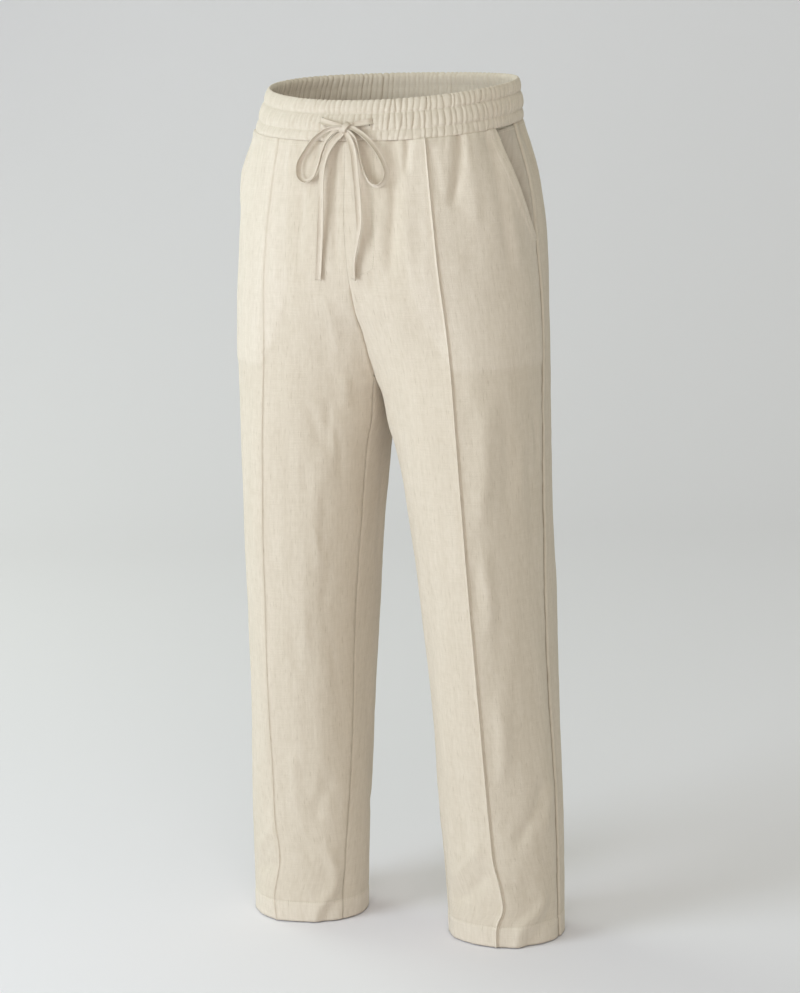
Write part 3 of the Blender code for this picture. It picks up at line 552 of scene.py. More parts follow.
def quads(rows, columns, ring=False):
    i, j = np.meshgrid(np.arange(rows - 1), np.arange(columns if ring else columns - 1), indexing="ij")
    a = i * columns + j
    b = i * columns + (j + 1) % columns
    return np.stack([a, a + columns, b + columns, b], -1).reshape(-1, 4)


def shell(name, outer, inner, uv, finish, flip, attributes=None, keep=None):
    """A closed thin wall from two matching grids; faces turn over where the grid is mirrored."""
    rows, columns = outer.shape[:2]
    n = rows * columns
    top = quads(rows, columns)
    if keep is not None:
        top = top[keep.reshape(-1)]
    bottom = top[:, ::-1] + n
    edges = {}
    pairs = np.stack([top, np.roll(top, -1, axis=1)], -1).reshape(-1, 2)
    forward = {(int(a), int(b)) for a, b in pairs}
    rim = [(a, a + n, b + n, b) for a, b in forward if (b, a) not in forward]
    rim = sorted(rim)
    faces = np.vstack([top, bottom, np.array(rim, int)])
    if not flip:
        faces = faces[:, ::-1]
    points = np.vstack([outer.reshape(-1, 3), inner.reshape(-1, 3)])
    used = np.unique(faces)
    renumber = np.full(len(points), -1)
    renumber[used] = np.arange(len(used))
    uvs = np.vstack([uv.reshape(-1, 2)] * 2)[used]
    values = {k: np.concatenate([v[0].reshape(-1), v[1].reshape(-1)])[used] for k, v in (attributes or {}).items()}
    return mesh_object(name, points[used], renumber[faces], finish, uvs, values)


# ---------------------------------------------------------------- panels
def panel_rows(which):
    inner, outer = piece_rows(which)
    at = []
    for i, (a, b) in enumerate(zip(outer, outer[1:])):
        n = max(1, int(round((a - b) / (0.0024 if i >= 22 else ROW_STEP))))
        at += [i + k / n for k in range(n)]
    first = outer[0] - outer[1]
    at += [d / first for d in (0.0010, 0.0017, 0.0024, 0.0033, 0.0046) if d < first]
    hem = np.array([0.0215, 0.0232, 0.0243, 0.0252, 0.0262, 0.0275, 0.0295])
    at += list(np.interp(-hem, -np.array(outer), np.arange(len(outer))))
    at = np.unique(np.round(np.array(at + [len(outer) - 1.0]), 5))
    index = np.arange(len(outer))
    return np.interp(at, index, inner), np.interp(at, index, outer), at < CROTCH_ROW[which] - 1e-9


def pin_x(height, side):
    rows = STRAY[side]
    stray = np.where(height < rows[-1][0], smooth(rows, height), 0.0)
    return smooth(PINTUCK, height) + stray


def pin_phi(height, side):
    return phi_at_x(pin_x(height, side), height)


def panel_grid(which, side, spans):
    """phi, height and centre mask. spans: (columns as fractions of the span, part of the row's
    drop at its end, edge as a function of height)."""
    low, high, above = panel_rows(which)
    sign = 1 if which == "front" else -1
    phi_in = inner_edge(which, low)[0] - np.where(above, 0, sign * 0.0001 / 0.1)
    phis, heights = [phi_in], [low]
    before, part_before = None, 0.0
    for shares, part, edge in spans:
        for share in shares:
            p = part_before + (part - part_before) * share
            h = low + (high - low) * (1 - (1 - p) ** 2)
            start = phi_in if before is None else before(h)
            phis.append(start + (edge(h) - start) * share)
            heights.append(h)
        before, part_before = edge, part
    phi, height = np.stack(phis, 1), np.stack(heights, 1)
    top = waist_seam(phi[0]) + 0.0012
    fade = np.clip((high - 0.86) / (high[0] - 0.86), 0, 1)[:, None] ** 2
    height = height + (top - height[0]) * fade
    centre = np.zeros(phi.shape, bool)
    centre[above, 0] = True
    phi[above, 0] = inner_edge(which, height[above, 0])[0]
    return phi, height, centre


def arcs(points):
    """Length along each row from its first column."""
    d = np.linalg.norm(np.diff(points, axis=1), axis=-1)
    return np.concatenate([np.zeros((len(points), 1)), np.cumsum(d, axis=1)], axis=1)


def crumple(world):
    """Fine unevenness of washed linen, longer up and down than across."""
    tall = noise(world / (0.021, 0.021, 0.120), 3) * 0.00090
    mid = noise(world / (0.012, 0.012, 0.036), 5) * 0.00045
    small = noise(world / (0.0065, 0.0065, 0.012), 7) * 0.00020
    broad = noise(world / (0.055, 0.055, 0.16), 9) * 0.0013
    return tall + mid + small + broad


def bag_edge(phi, height):
    """How far inside the pocket bag's outline a point of the front lies, in metres."""
    x = surface(phi, height)[..., 0]
    from_edge = x - smooth(BAG_EDGE, np.clip(height, 0.70, 1.0))
    return np.minimum(from_edge, height - BAG_BOTTOM)


def base_relief(phi, height, n, side, lines):
    """What every layer of cloth follows: folds, gathers and crumple."""
    world = surface(phi, height) * (side, 1, 1)
    n = n * (side, 1, 1)
    return fold_field(world, n, lines) + crumple(world)


def seam_profile(d):
    """A plain seam: the cloth turns in at it, with a slight swell beside it."""
    return -0.00125 * np.exp(-((d / 0.0011) ** 2)) + 0.00032 * np.exp(-(((d - 0.0036) / 0.0022) ** 2))


def waist_profile(below):
    """The panels' top edge turns in and up, behind the waistband."""
    return -0.00050 * np.exp(-((below / 0.0016) ** 2)) + 0.0002 * np.exp(-(((below - 0.0055) / 0.003) ** 2)) - 0.0022 * step(-below, -0.0004, 0.0009)


def pucker(along, d, seed):
    p = np.stack([along / 0.0095, np.full(along.shape, seed * 1.7), np.zeros(along.shape)], -1)
    return 0.00032 * noise(p, seed) * np.exp(-((d / 0.010) ** 1.5))


def front_relief(phi, height, n, flat, side, lines):
    s = arcs(flat)
    pin_at = s[:, PIN_COLUMN][:, None]
    from_pin = s - pin_at
    to_in, to_out = s, s[:, -1:] - s
    below = waist_seam(phi) - height
    d = base_relief(phi, height, n, side, lines)
    # pressed crease, then the pintuck's ridge on it, steeper on its outer side
    d += (0.0060 - 0.0050 * step(height, 0.58, 0.84)) * np.exp(-np.abs(from_pin) / 0.030)
    lean = from_pin - 0.0002
    ridge = np.where(lean < 0, np.exp(-((lean / 0.00105) ** 2)), np.exp(-((lean / 0.00070) ** 2)))
    bold = 1.0 if side > 0 else 0.72
    d += 0.0022 * bold * ridge - 0.0012 * bold**2 * np.exp(-(((lean - 0.0018) / 0.0009) ** 2))
    # seams
    along = height
    hidden_fly = 1 - step(height, 0.795, 0.815)
    inseam = 1 - step(height, CROTCH_H - 0.002, CROTCH_H + 0.010)
    d += seam_profile(to_in) * (1 - inseam) * hidden_fly - inseam * 0.0011 * np.exp(-to_in / 0.0028) + waist_profile(below)
    slant = step(height, POCKET_BOTTOM - 0.004, POCKET_BOTTOM + 0.012)
    # the side seam: the front rolls gently in to it, and the back rises steeply from it
    d -= 0.0018 * np.exp(-to_out / 0.0036) * (1 - slant)
    d += pucker(along, to_in, 11 + side) * np.maximum(hidden_fly, 0.0) + pucker(along, to_out, 15 + side) * (1 - 0.6 * slant)
    # the hip rounds out over the pocket
    hip = np.exp(-(((phi - 0.95) / 0.40) ** 2) - (((height - 0.895) / 0.085) ** 2))
    d += (0.0045 if side > 0 else 0.0012) * hip
    # the pocket's edge: a doubled, topstitched strip that stands a little off the facing
    strip = step(0.0125 - to_out, 0, 0.0016)
    d += slant * (0.00095 * strip - 0.00060 * np.exp(-(((to_out - 0.0108) / 0.0008) ** 2)))
    gape = step(height, 0.845, 0.905) * step(0.978 - height, 0, 0.05)
    d += slant * gape * 0.0036 * np.exp(-to_out / 0.015)
    # the bag behind lifts the cloth a little
    inside = bag_edge(phi, height)
    d += 0.0008 * step(inside, -0.003, 0.004)
    # the folded hem stands a little proud, with a groove at its top
    d += hem_relief(height)
    return d, from_pin, step(inside, -0.002, 0.006)


def hem_relief(height):
    return 0.00045 * step(HEM_DEPTH - height, 0.0008, 0.0030) - 0.00040 * np.exp(-(((height - HEM_DEPTH) / 0.0011) ** 2))


def back_relief(phi, height, n, flat, side, lines):
    s = arcs(flat)
    to_in, to_out = s, s[:, -1:] - s
    below = waist_seam(phi) - height
    d = base_relief(phi, height, n, side, lines)
    above = step(height, CROTCH_H + 0.030, CROTCH_H + 0.045)
    d += 0.5 * seam_profile(to_in) * above + (1 - above) * (0.0003 * np.exp(-(((to_in - 0.0046) / 0.0036) ** 2)) - 0.0008 * np.exp(-to_in / 0.0012))
    d += waist_profile(below) - 0.0018 * np.exp(-to_out / 0.0012) + 0.0013 * np.exp(-(((to_out - 0.0042) / 0.0030) ** 2))
    hip = np.exp(-(((phi - 0.95) / 0.40) ** 2) - (((height - 0.895) / 0.085) ** 2))
    d += (0.0045 if side > 0 else 0.0012) * hip
    d += pucker(height, to_in, 21 + side) + pucker(height, to_out, 25 + side)
    d += hem_relief(height)
    return d, to_out


PIN_OFFSETS = (-0.0052, -0.0034, -0.0023, -0.0016, -0.0011, -0.0007, -0.0003, 0.0001, 0.0004, 0.0007, 0.0010, 0.0014, 0.0019, 0.0026, 0.0036, 0.0052)
PIN_COLUMN = None


def finer(count, long_in, long_out):
    """count column shares up to 1, closer together within 4 mm of an end of this length (0: not there)."""
    near = np.array([0.0007, 0.0014, 0.0023, 0.0035, 0.0052])
    first = near / long_in if long_in else np.zeros(0)
    last = 1 - near[::-1] / long_out if long_out else np.zeros(0)
    rest = count - len(first) - len(last)
    lo, hi = (first[-1] if len(first) else 0.0), (last[0] if len(last) else 1.0)
    middle = lo + (hi - lo) * np.arange(1, rest + 1) / (rest if not len(last) else rest + 1)
    shares = np.concatenate([first, middle, last])
    if len(last):
        shares = np.append(shares, 1.0)
    return shares


def front_spans(side):
    """Columns of a front: inner edge to the pintuck, across it, on to the pocket's strip and edge."""
    spans = []
    spans.append((finer(40, 0.10, 0), 6 / 14, lambda h: pin_phi(h, side) + PIN_OFFSETS[0] / 0.1))
    parts = np.linspace(6 / 14, 9 / 14, len(PIN_OFFSETS))
    for part, offset in zip(parts[1:], PIN_OFFSETS[1:]):
        spans.append(((1.0,), part, lambda h, o=offset: pin_phi(h, side) + o / 0.1))
    rim = lambda h: front_edge(h) - 0.0085 * np.sin(pi * np.clip((h - 0.845) / 0.130, 0, 1)) / radius_at(front_edge(h), h)
    strip = lambda h: rim(h) - 0.0140 / radius_at(front_edge(h), h)
    n = 30
    spans.append((np.arange(1, n + 1) / n, 0.93, strip))
    spans.append((np.array([0.11, 0.21, 0.24, 0.27, 0.34, 0.46, 0.58, 0.70, 0.80, 0.87, 0.92, 0.96, 1.0]), 1.0, rim))
    return spans


def back_spans():
    return [(finer(80, 0.30, 0.30), 1.0, lambda h: phi_side(h) - 0.0003 / 0.1)]


def turned(points, n, side):
    return points * (side, 1, 1), n * (side, 1, 1)


def build_panels(finish, lines):
    """The four panels. Returns objects and their grids."""
    global PIN_COLUMN
    PIN_COLUMN = 40 + PIN_OFFSETS.index(0.0001)
    made, grids = {}, {}
    for side, word in ((1, "left"), (-1, "right")):
        for which in ("front", "back"):
            spans = front_spans(side) if which == "front" else back_spans()
            phi, height, centre = panel_grid(which, side, spans)
            n = normals(phi, height, centre)
            flat = surface(phi, height)
            if which == "front":
                d, across, backed = front_relief(phi, height, n, flat, side, lines)
            else:
                d, across = back_relief(phi, height, n, flat, side, lines)
                backed = np.zeros(phi.shape)
            backed = np.maximum(backed, step(HEM_DEPTH - height, -0.001, 0.001))
            wall = CLOTH + 0.0010 * step(HEM_DEPTH - height, -0.0006, 0.0008)
            to_out = arcs(flat)[:, -1:] - arcs(flat)
            # painted shade along the side seam and, under the crotch, the inseam, handed to the material as an
            # attribute
            sewn = step(POCKET_BOTTOM + 0.004 - height, -0.006, 0.006)
            seam_painted_shade = 0.85 * np.exp(-((to_out / 0.0015) ** 2)) * sewn if which == "front" else 0.75 * np.exp(-((to_out / 0.0009) ** 2)) * (0.35 + 0.65 * sewn)
            seam_painted_shade = seam_painted_shade + 0.45 * np.exp(-((arcs(flat) / 0.0010) ** 2)) * step(CROTCH_H - 0.004 - height, -0.004, 0.004)
            if which == "front":
                wall = wall + 0.0008 * step(0.0125 - to_out, 0, 0.001) * step(height, POCKET_BOTTOM, POCKET_BOTTOM + 0.01)
            outer = flat + n * d[..., None]
            inner = outer - n * wall[..., None]
            for layer in (outer, inner):
                layer[..., 0] = np.maximum(layer[..., 0], GAP / 2)
                layer[..., 0] = np.where(centre, 0.00001, layer[..., 0])
                layer[..., 2] = np.maximum(layer[..., 2], -WAIST)
            uv = np.stack([across, height], -1)
            outer_w, n_w = turned(outer, n, side)
            name = f"cloth_{which}_{word}"
            flip = (side < 0) == (which == "front")
            made[name] = shell(name, outer_w, inner * (side, 1, 1), uv, finish, not flip, {"backed": (backed, backed), "seam_painted_shade": (seam_painted_shade, np.zeros(seam_painted_shade.shape))})
            grids[name] = {"outer": outer_w, "n": n_w, "phi": phi, "height": height, "d": d}
    return made, grids


def build_pockets(finish, lines):
    """Facing and bag in one piece, behind the front and out to the side seam."""
    made = {}
    for side, word in ((1, "left"), (-1, "right")):
        rows = np.concatenate([np.linspace(0.9835, 0.845, 46), np.linspace(0.845, BAG_BOTTOM, 40)[1:]])
        slant = front_edge(rows)
        seam = phi_side(rows) - GAP / 2 / 0.1
        first = phi_at_x(smooth(BAG_EDGE, np.clip(rows, 0.70, 1.0)) + 0.001, rows)
        under = np.linspace(0, 1, 30)
        shown = np.linspace(0, 1, 19)[1:]
        phi = np.concatenate([first[:, None] + (slant - first)[:, None] * under, slant[:, None] + (seam - slant)[:, None] * shown], 1)
        height = np.repeat(rows[:, None], phi.shape[1], 1)
        top = waist_seam(phi[0]) - GAP - 0.0012
        fade = np.clip((rows - 0.90) / (rows[0] - 0.90), 0, 1)[:, None] ** 2
        height = height + (top - height[0]) * fade
        n = normals(phi, height, np.zeros(phi.shape, bool))
        flat = surface(phi, height)
        d = base_relief(phi, height, n, side, lines)
        d = d + (0.0045 if side > 0 else 0.0012) * np.exp(-(((phi - 0.95) / 0.40) ** 2) - (((height - 0.895) / 0.085) ** 2))
        reach = np.maximum((seam - slant) * radius_at(slant, rows), 0)[:, None]
        past = np.maximum((phi - slant[:, None]), 0) * radius_at(phi, height)
        v = np.clip(past / np.maximum(reach, 1e-5), 0, 1)
        open_ = step(reach, 0.004, 0.018)
        depth = 0.0025 + 0.0030 * open_ * step(height, 0.86, 0.91) - (0.0022 + 0.0030 * step(height, 0.86, 0.91)) * step(v, 0.1, 1.0) * open_
        sag = 0.0090 * np.sin(pi * np.clip(v, 0, 1)) ** 1.2 * open_ * step(height, 0.85, 0.90) * step(0.985 - height, 0.0, 0.03)
        folds = 0.0026 * np.sin(v * 9 + 20 * (height - 0.9)) * np.sin(pi * v) * open_
        d = d - depth - sag + folds - 0.0008 * np.exp(-(((1 - v) * reach / 0.0013) ** 2)) * open_
        outer = flat + n * d[..., None]
        inner = outer - n * 0.0008
        uv = np.stack([arcs(flat), height], -1)
        # the bag's lower corner is rounded off
        i, j = np.meshgrid(np.arange(len(rows) - 1), np.arange(phi.shape[1] - 1), indexing="ij")
        h_mid = height[i, j]
        corner = (under[np.clip(j, 0, 29)] * 0.09 + 0.004 - 0.030) ** 2 + (h_mid - (BAG_BOTTOM + 0.030)) ** 2
        keep = ~((under[np.clip(j, 0, 29)] * 0.09 < 0.026) & (h_mid < BAG_BOTTOM + 0.030) & (corner > 0.030**2))
        name = f"cloth_pocket_{word}"
        shade = np.zeros(phi.shape)
        made[name] = shell(name, outer * (side, 1, 1), inner * (side, 1, 1), uv, finish, side > 0, {"backed": (shade, shade)}, keep)
    return made


# ---------------------------------------------------------------- waistband
def gather_valleys(total, rng):
    at, here = [], 0.0
    while here < total - 0.004:
        at.append(here)
        here += rng.uniform(*GATHERS)
    return np.array(at), rng.uniform(0.45, 1.0, len(at))


def gather_profile(arc, total, at, deep):
    """1 on the rounded tops, less in the sharp creases between them."""
    at2 = np.concatenate([at[-1:] - total, at, at[:1] + total])
    deep2 = np.concatenate([deep[-1:], deep, deep[:1]])
    order = np.argsort(at2)
    at2, deep2 = at2[order], deep2[order]
    arc = np.mod(arc - at2[0], total) + at2[0]
    k = np.clip(np.searchsorted(at2, arc, side="right") - 1, 0, len(at2) - 2)
    u = (arc - at2[k]) / np.maximum(at2[k + 1] - at2[k], 1e-6)
    hill = (4 * np.clip(u, 0, 1) * (1 - np.clip(u, 0, 1))) ** 0.50
    low = deep2[k] * (1 - u) + deep2[k + 1] * u
    return 1 - low * (1 - hill)


def build_waistband(finish, rng):
    half = BAND_COLUMNS // 2 + 1
    low, high = band_line(half)
    low = np.vstack([low, low[-2:0:-1] * (-1, 1, 1)])
    high = np.vstack([high, high[-2:0:-1] * (-1, 1, 1)])
    count = len(low)
    mid = (low + high) / 2
    seg = np.linalg.norm(np.roll(mid, -1, axis=0) - mid, axis=1)
    arc = np.concatenate([[0], np.cumsum(seg)[:-1]])
    total = seg.sum()
    at, deep = gather_valleys(total, rng)
    azimuth = np.arctan2(mid[:, 0], -(mid[:, 1] - 0.006))
    # gathers show strongest from the middle of the front round the wearer's left, softer at the right front
    strong = 1.0 - 0.48 * step(-azimuth, 0.15, 0.9) * step(pi - np.abs(azimuth), 1.0, 1.6)
    strong = strong * (0.92 + 0.12 * noise(np.stack([arc / 0.05, arc * 0, arc * 0], -1), 31))
    channels = []
    for c in range(3):
        shift = rng.normal(0, 0.0007, len(at))
        dep = np.clip(deep * rng.uniform(0.55, 1.15, len(at)), 0.1, 1.0)
        lean = rng.normal(0, 0.0007, len(at))
        channels.append((shift, dep, lean))
    inner_shift = rng.normal(0, 0.0008, len(at))
    inner_deep = np.clip(deep * rng.uniform(0.5, 1.1, len(at)), 0.1, 1.0)

    out = mid * (1, 1, 0) - (0, 0.006, 0)
    out /= np.linalg.norm(out, axis=1, keepdims=True)

    def profile(t, c, s):
        shift, dep, lean = channels[c]
        return gather_profile(arc, total, np.sort(at + shift + lean * (2 * s - 1)), dep)

    loops, vs = [], []
    heights = np.linalg.norm(high - low, axis=1)
    puffs = (0.0017, 0.0036, 0.0030)
    for c, (a, b) in enumerate(zip(CHANNELS, CHANNELS[1:])):
        n = (9, 14, 11)[c]
        for k in range(n):
            s = k / n
            t = a + (b - a) * s
            r = profile(t, c, s)
            body = (4 * s * (1 - s)) ** (0.55 if c else 0.9) if 0 < s < 1 else 0.0
            if c == 2:
                body = max(body, 0.0) if s < 0.55 else max(body, 0.72)
            puff = puffs[c] * body * (0.06 + 0.94 * r * strong + 0.62 * (1 - strong))
            pinch = -0.00050 + 0.0021 * (r - 0.6) * strong
            fine = noise(np.stack([arc / 0.0042, np.full(count, t * 5.0), np.full(count, c * 7.3)], -1), 37)
            if c == 0:
                pinch = pinch - 0.0006 * (1 - s)
            offset = puff + pinch * (1 - 0.7 * body) + 0.00042 * fine * strong
            loops.append(low + (high - low) * t + out * offset[:, None])
            vs.append(t)
    r_top = profile(1.0, 2, 1.0)
    scallop = (-0.0024 * (1 - r_top) * (0.4 + 0.6 * strong))[:, None]
    up = np.array([0, 0, 1.0])
    for ang in (0.0, 0.25, 0.5, 0.75, 1.0):
        a = ang * pi
        rad = (BAND_WALL + 0.0012 * r_top * strong) / 2
        centre = high + out * (0.0008 * r_top * strong - BAND_WALL / 2 + 0.0002)[:, None] - up * 0.0004
        loops.append(centre + out * (np.cos(a) * rad)[:, None] + up * (np.sin(a) * rad * 0.9)[:, None] + up * scallop)
        vs.append(1.0 + ang * 0.06)
    r_in = gather_profile(arc, total, np.sort(at + inner_shift), inner_deep)
    n = 17
    for k in range(n):
        t = 0.97 - 0.97 * k / (n - 1)
        c = 0 if t < CHANNELS[1] else 1 if t < CHANNELS[2] else 2
        a, b = CHANNELS[c], CHANNELS[c + 1]
        s = (t - a) / (b - a)
        body = (4 * s * (1 - s)) ** 0.6
        depth = BAND_WALL - 0.0006 + (0.0002 + 0.0032 * r_in) * (0.50 + 0.50 * body)
        loops.append(low + (high - low) * t - out * depth[:, None] + up * (scallop * (t > 0.9)))
        vs.append(1.06 + (1 - t))
    points = np.stack(loops)
    rows = len(points)
    faces = quads(rows, count, ring=True)
    last = (rows - 1) * count
    j = np.arange(count)
    closing = np.stack([last + j, j, (j + 1) % count, last + (j + 1) % count], -1)
    faces = np.vstack([faces, closing])
    uv = np.stack(np.broadcast_arrays(arc[None, :], (np.array(vs)[:, None] * heights.mean())), -1)
    obj = mesh_object("cloth_waistband", points, faces[:, ::-1], finish, uv, {"backed": np.ones(points.shape[:2])})
    return obj, {"arc": arc, "low": low, "high": high, "out": out, "total": total, "at": at, "deep": deep, "strong": strong}


# ---------------------------------------------------------------- stitching
class Cloth:
    """The finished outer cloth, for putting stitches and tape on it."""

    def __init__(self, objects):
        points, faces, base = [], [], 0
        for obj in objects:
            mesh = obj.data
            co = np.empty(len(mesh.vertices) * 3, np.float32)
            mesh.vertices.foreach_get("co", co)
            points.append(co.reshape(-1, 3))
            faces += [tuple(base + v for v in p.vertices) for p in mesh.polygons]
            base += len(mesh.vertices)
        self.tree = BVHTree.FromPolygons(np.vstack(points).tolist(), faces)

    def drop(self, point, toward, reach=0.05):
        """Where a ray from outside, along toward, meets the cloth: (point, outward normal)."""
        d = Vector(toward).normalized()
        hit, n, _, _ = self.tree.ray_cast(Vector(point) - d * 0.02, d, reach)
        if hit is None:
            hit, n, _, _ = self.tree.find_nearest(Vector(point), 0.05)
            if hit is None:
                return np.array(point), -np.array(d)
        n = np.array(n)
        if n @ np.array(d) > 0:
            n = -n
        return np.array(hit), n

    def line(self, points, toward):
        got = [self.drop(p, t) for p, t in zip(points, toward)]
        return np.array([g[0] for g in got]), np.array([g[1] for g in got])


def stitch_mesh(name, runs, finish):
    """Short rounded stitches in a row. Each run: points, normals, pitch, length, radius."""
    rings, sides = 4, 4
    all_points, all_faces, all_uv, base = [], [], [], 0
    for points, n, pitch, length, radius in runs:
        seg = np.linalg.norm(np.diff(points, axis=0), axis=1)
        along = np.concatenate([[0], np.cumsum(seg)])
        count = max(1, int(along[-1] / pitch))
        start = (along[-1] - count * pitch) / 2 + (pitch - length) / 2 + np.arange(count) * pitch
        for k, (share, lift, scale) in enumerate(((0.0, -0.35, 0.55), (0.22, 0.55, 1.0), (0.78, 0.55, 1.0), (1.0, -0.35, 0.55))):
            s = start + share * length
            p = np.stack([np.interp(s, along, points[:, i]) for i in range(3)], -1)
            m = np.stack([np.interp(s, along, n[:, i]) for i in range(3)], -1)
            m /= np.linalg.norm(m, axis=1, keepdims=True)
            s2 = np.minimum(s + 0.0002, along[-1])
            q = np.stack([np.interp(s2, along, points[:, i]) for i in range(3)], -1) - np.stack([np.interp(s2 - 0.0004, along, points[:, i]) for i in range(3)], -1)
            q /= np.maximum(np.linalg.norm(q, axis=1, keepdims=True), 1e-9)
            w = np.cross(q, m)
            ring = []
            for a in range(sides):
                ang = 2 * pi * (a + 0.5) / sides
                ring.append(p + m * (radius * (lift + scale * np.sin(ang))) + w * (radius * scale * np.cos(ang)))
            if k == 0:
                block = np.empty((count, rings, sides, 3))
            block[:, k] = np.stack(ring, 1)
        index = base + np.arange(count)[:, None, None] * rings * sides + (np.arange(rings)[:, None] * sides + np.arange(sides))[None]
        nxt = np.roll(index, -1, axis=2)
        body = np.stack([index[:, :-1], nxt[:, :-1], nxt[:, 1:], index[:, 1:]], -1).reshape(-1, 4)
        caps = np.concatenate([index[:, 0, ::-1].reshape(-1, 4), index[:, -1].reshape(-1, 4)])
        all_faces += [body, caps]
        all_points.append(block.reshape(-1, 3))
        uv = np.zeros((count, rings, sides, 2))
        uv[..., 0] = np.arange(sides)[None, None, :] * radius
        uv[..., 1] = start[:, None, None] + np.array([0, 0.22, 0.78, 1.0])[None, :, None] * length
        all_uv.append(uv.reshape(-1, 2))
        base += count * rings * sides
    return mesh_object(name, np.vstack(all_points), np.vstack(all_faces)[:, ::-1], finish, np.vstack(all_uv))


def runs_for_stitching(cloth, band):
    """Where the garment's stitches lie: (points, normals, pitch, length, radius)."""
    band_runs, panel_runs, bar_runs = [], [], []
    closed = lambda a: np.vstack([a, a[:1]])
    outward = closed(band["out"])
    for t in (CHANNELS[1], CHANNELS[2]):
        line = closed(band["low"] + (band["high"] - band["low"]) * t)
        for way in (1, -1):
            start = line + outward * (0.003 if way > 0 else -BAND_WALL - 0.004)
            p, n = cloth.line(start[::3], -way * outward[::3])
            band_runs.append((p, n, 0.0029, 0.0021, 0.00024))
    line = closed(band["low"] + (band["high"] - band["low"]) * 0.10)
    p, n = cloth.line((line - outward * (BAND_WALL + 0.004))[::3], outward[::3])
    band_runs.append((p, n, 0.0029, 0.0021, 0.00024))

    def on_panel(phi, height, side, pitch=0.0029, length=0.0021, radius=0.00024, into=None):
        base = surface(phi, height) * (side, 1, 1)
        m = normals(phi, height, np.zeros(len(phi), bool)) * (side, 1, 1)
        p, n = cloth.line(base + m * 0.004, -m)
        (panel_runs if into is None else into).append((p, n, pitch, length, radius))

    for side in (1, -1):
        lo, hi = float(inner_edge("front", 0.972)[0]) + 0.02, float(inner_edge("back", 0.985)[0]) - 0.02
        phi = np.linspace(lo, hi, 260)
        on_panel(phi, waist_seam(phi) - 0.0052, side)
        phi = np.linspace(-1.02, 2 * pi - 1.06, 240)
        on_panel(phi, np.full(240, HEM_DEPTH + 0.0002), side)
        h = np.linspace(0.9745, 0.853, 90)
        edge = front_edge(h)
        on_panel(edge - 0.0108 / radius_at(edge, h), h, side)
        # bar tacks at both ends of the pocket's mouth
        for at in (0.9700, 0.8500):
            edge = float(front_edge(np.array([at]))[0])
            r = float(radius_at(edge, at))
            for k in range(11):
                inward = 0.0012 + 0.0009 * k
                phi2 = np.full(3, edge - inward / r)
                on_panel(phi2, at + np.linspace(-0.0009, 0.0009, 3), side, 0.0017, 0.0016, 0.00030, bar_runs)
    # the fly's curved line, on the left front only
    rows = [(float(phi_at_x(0.0360, h)), h) for h in (0.9690, 0.9440, 0.9194, 0.8966, 0.8736)]
    rows += [(-0.446, 0.8503), (-0.463, 0.8362), (-0.480, 0.8291), (-0.504, 0.8256), (-0.599, 0.8196), (-0.676, 0.8148)]
    at = through(np.array([(p * 0.1, h, 0) for p, h in rows]), 120)
    on_panel(at[:, 0] / 0.1, at[:, 1], 1, 0.0026, 0.0020, 0.00034)
    # buttonholes: bars along both sides of a slit, in a ring
    slits = []
    for (x0, h0), (x1, h1) in (((-0.0342, 1.0020), (-0.0323, 0.9931)), ((0.0277, 0.9986), (0.0290, 0.9919))):
        axis = np.array([x1 - x0, 0, h1 - h0])
        long = np.linalg.norm(axis)
        axis /= long
        side_way = np.array([-axis[2], 0, axis[0]])
        mid = np.array([(x0 + x1) / 2, 0, (h0 + h1) / 2 - WAIST])
        ring = []
        for k in range(56):
            a = 2 * pi * k / 56
            c, s = np.cos(a), np.sin(a)
            ring.append((mid + axis * (long / 2 - 0.0004) * c + side_way * 0.0007 * s, mid + axis * (long / 2 + 0.0012) * c + side_way * 0.0022 * s))
        for inner_pt, outer_pt in ring:
            ends = []
            for q in (inner_pt, outer_pt):
                ends.append(cloth.drop((q[0], -0.13, q[2]), (0, 1, 0)))
            p = np.array([ends[0][0], (ends[0][0] + ends[1][0]) / 2, ends[1][0]])
            n = np.array([ends[0][1], ends[0][1] + ends[1][1], ends[1][1]])
            length = np.linalg.norm(p[2] - p[0])
            if length < 0.004:
                bar_runs.append((p, n, length * 0.999, length * 0.98, 0.00024))
        pts = [cloth.drop((q[0], -0.13, q[2]), (0, 1, 0)) for q in
               [mid + axis * (long / 2) * np.cos(2 * pi * k / 20) + side_way * 0.0008 * np.sin(2 * pi * k / 20) for k in range(20)]]
        centre = cloth.drop((mid[0], -0.13, mid[2]), (0, 1, 0))
        slits.append((centre, pts))
    return band_runs, panel_runs, bar_runs, slits


def build_slits(slits, finish):
    # a thin dark sheet in each buttonhole: painted shade for the dark inside seen through the slit
    points, faces = [], []
    for centre, ring in slits:
        base = len(points)
        out = centre[1] / np.linalg.norm(centre[1])
        for depth in (0.00016, -0.00030):
            points.append(centre[0] + out * depth)
            points += [p + out * depth for p, _ in ring]
        n = len(ring)
        for k in range(n):
            j = (k + 1) % n
            faces.append((base, base + 1 + k, base + 1 + j))
            faces.append((base + n + 1, base + n + 2 + j, base + n + 2 + k))
            faces.append((base + 1 + k, base + n + 2 + k, base + n + 2 + j, base + 1 + j))
    return mesh_object("buttonhole_slits", np.array(points), faces, finish, np.zeros((len(points), 2)))


# ---------------------------------------------------------------- drawstring
KNOT = {"x": 0.0010, "out": 0.0058, "height": 0.9903}
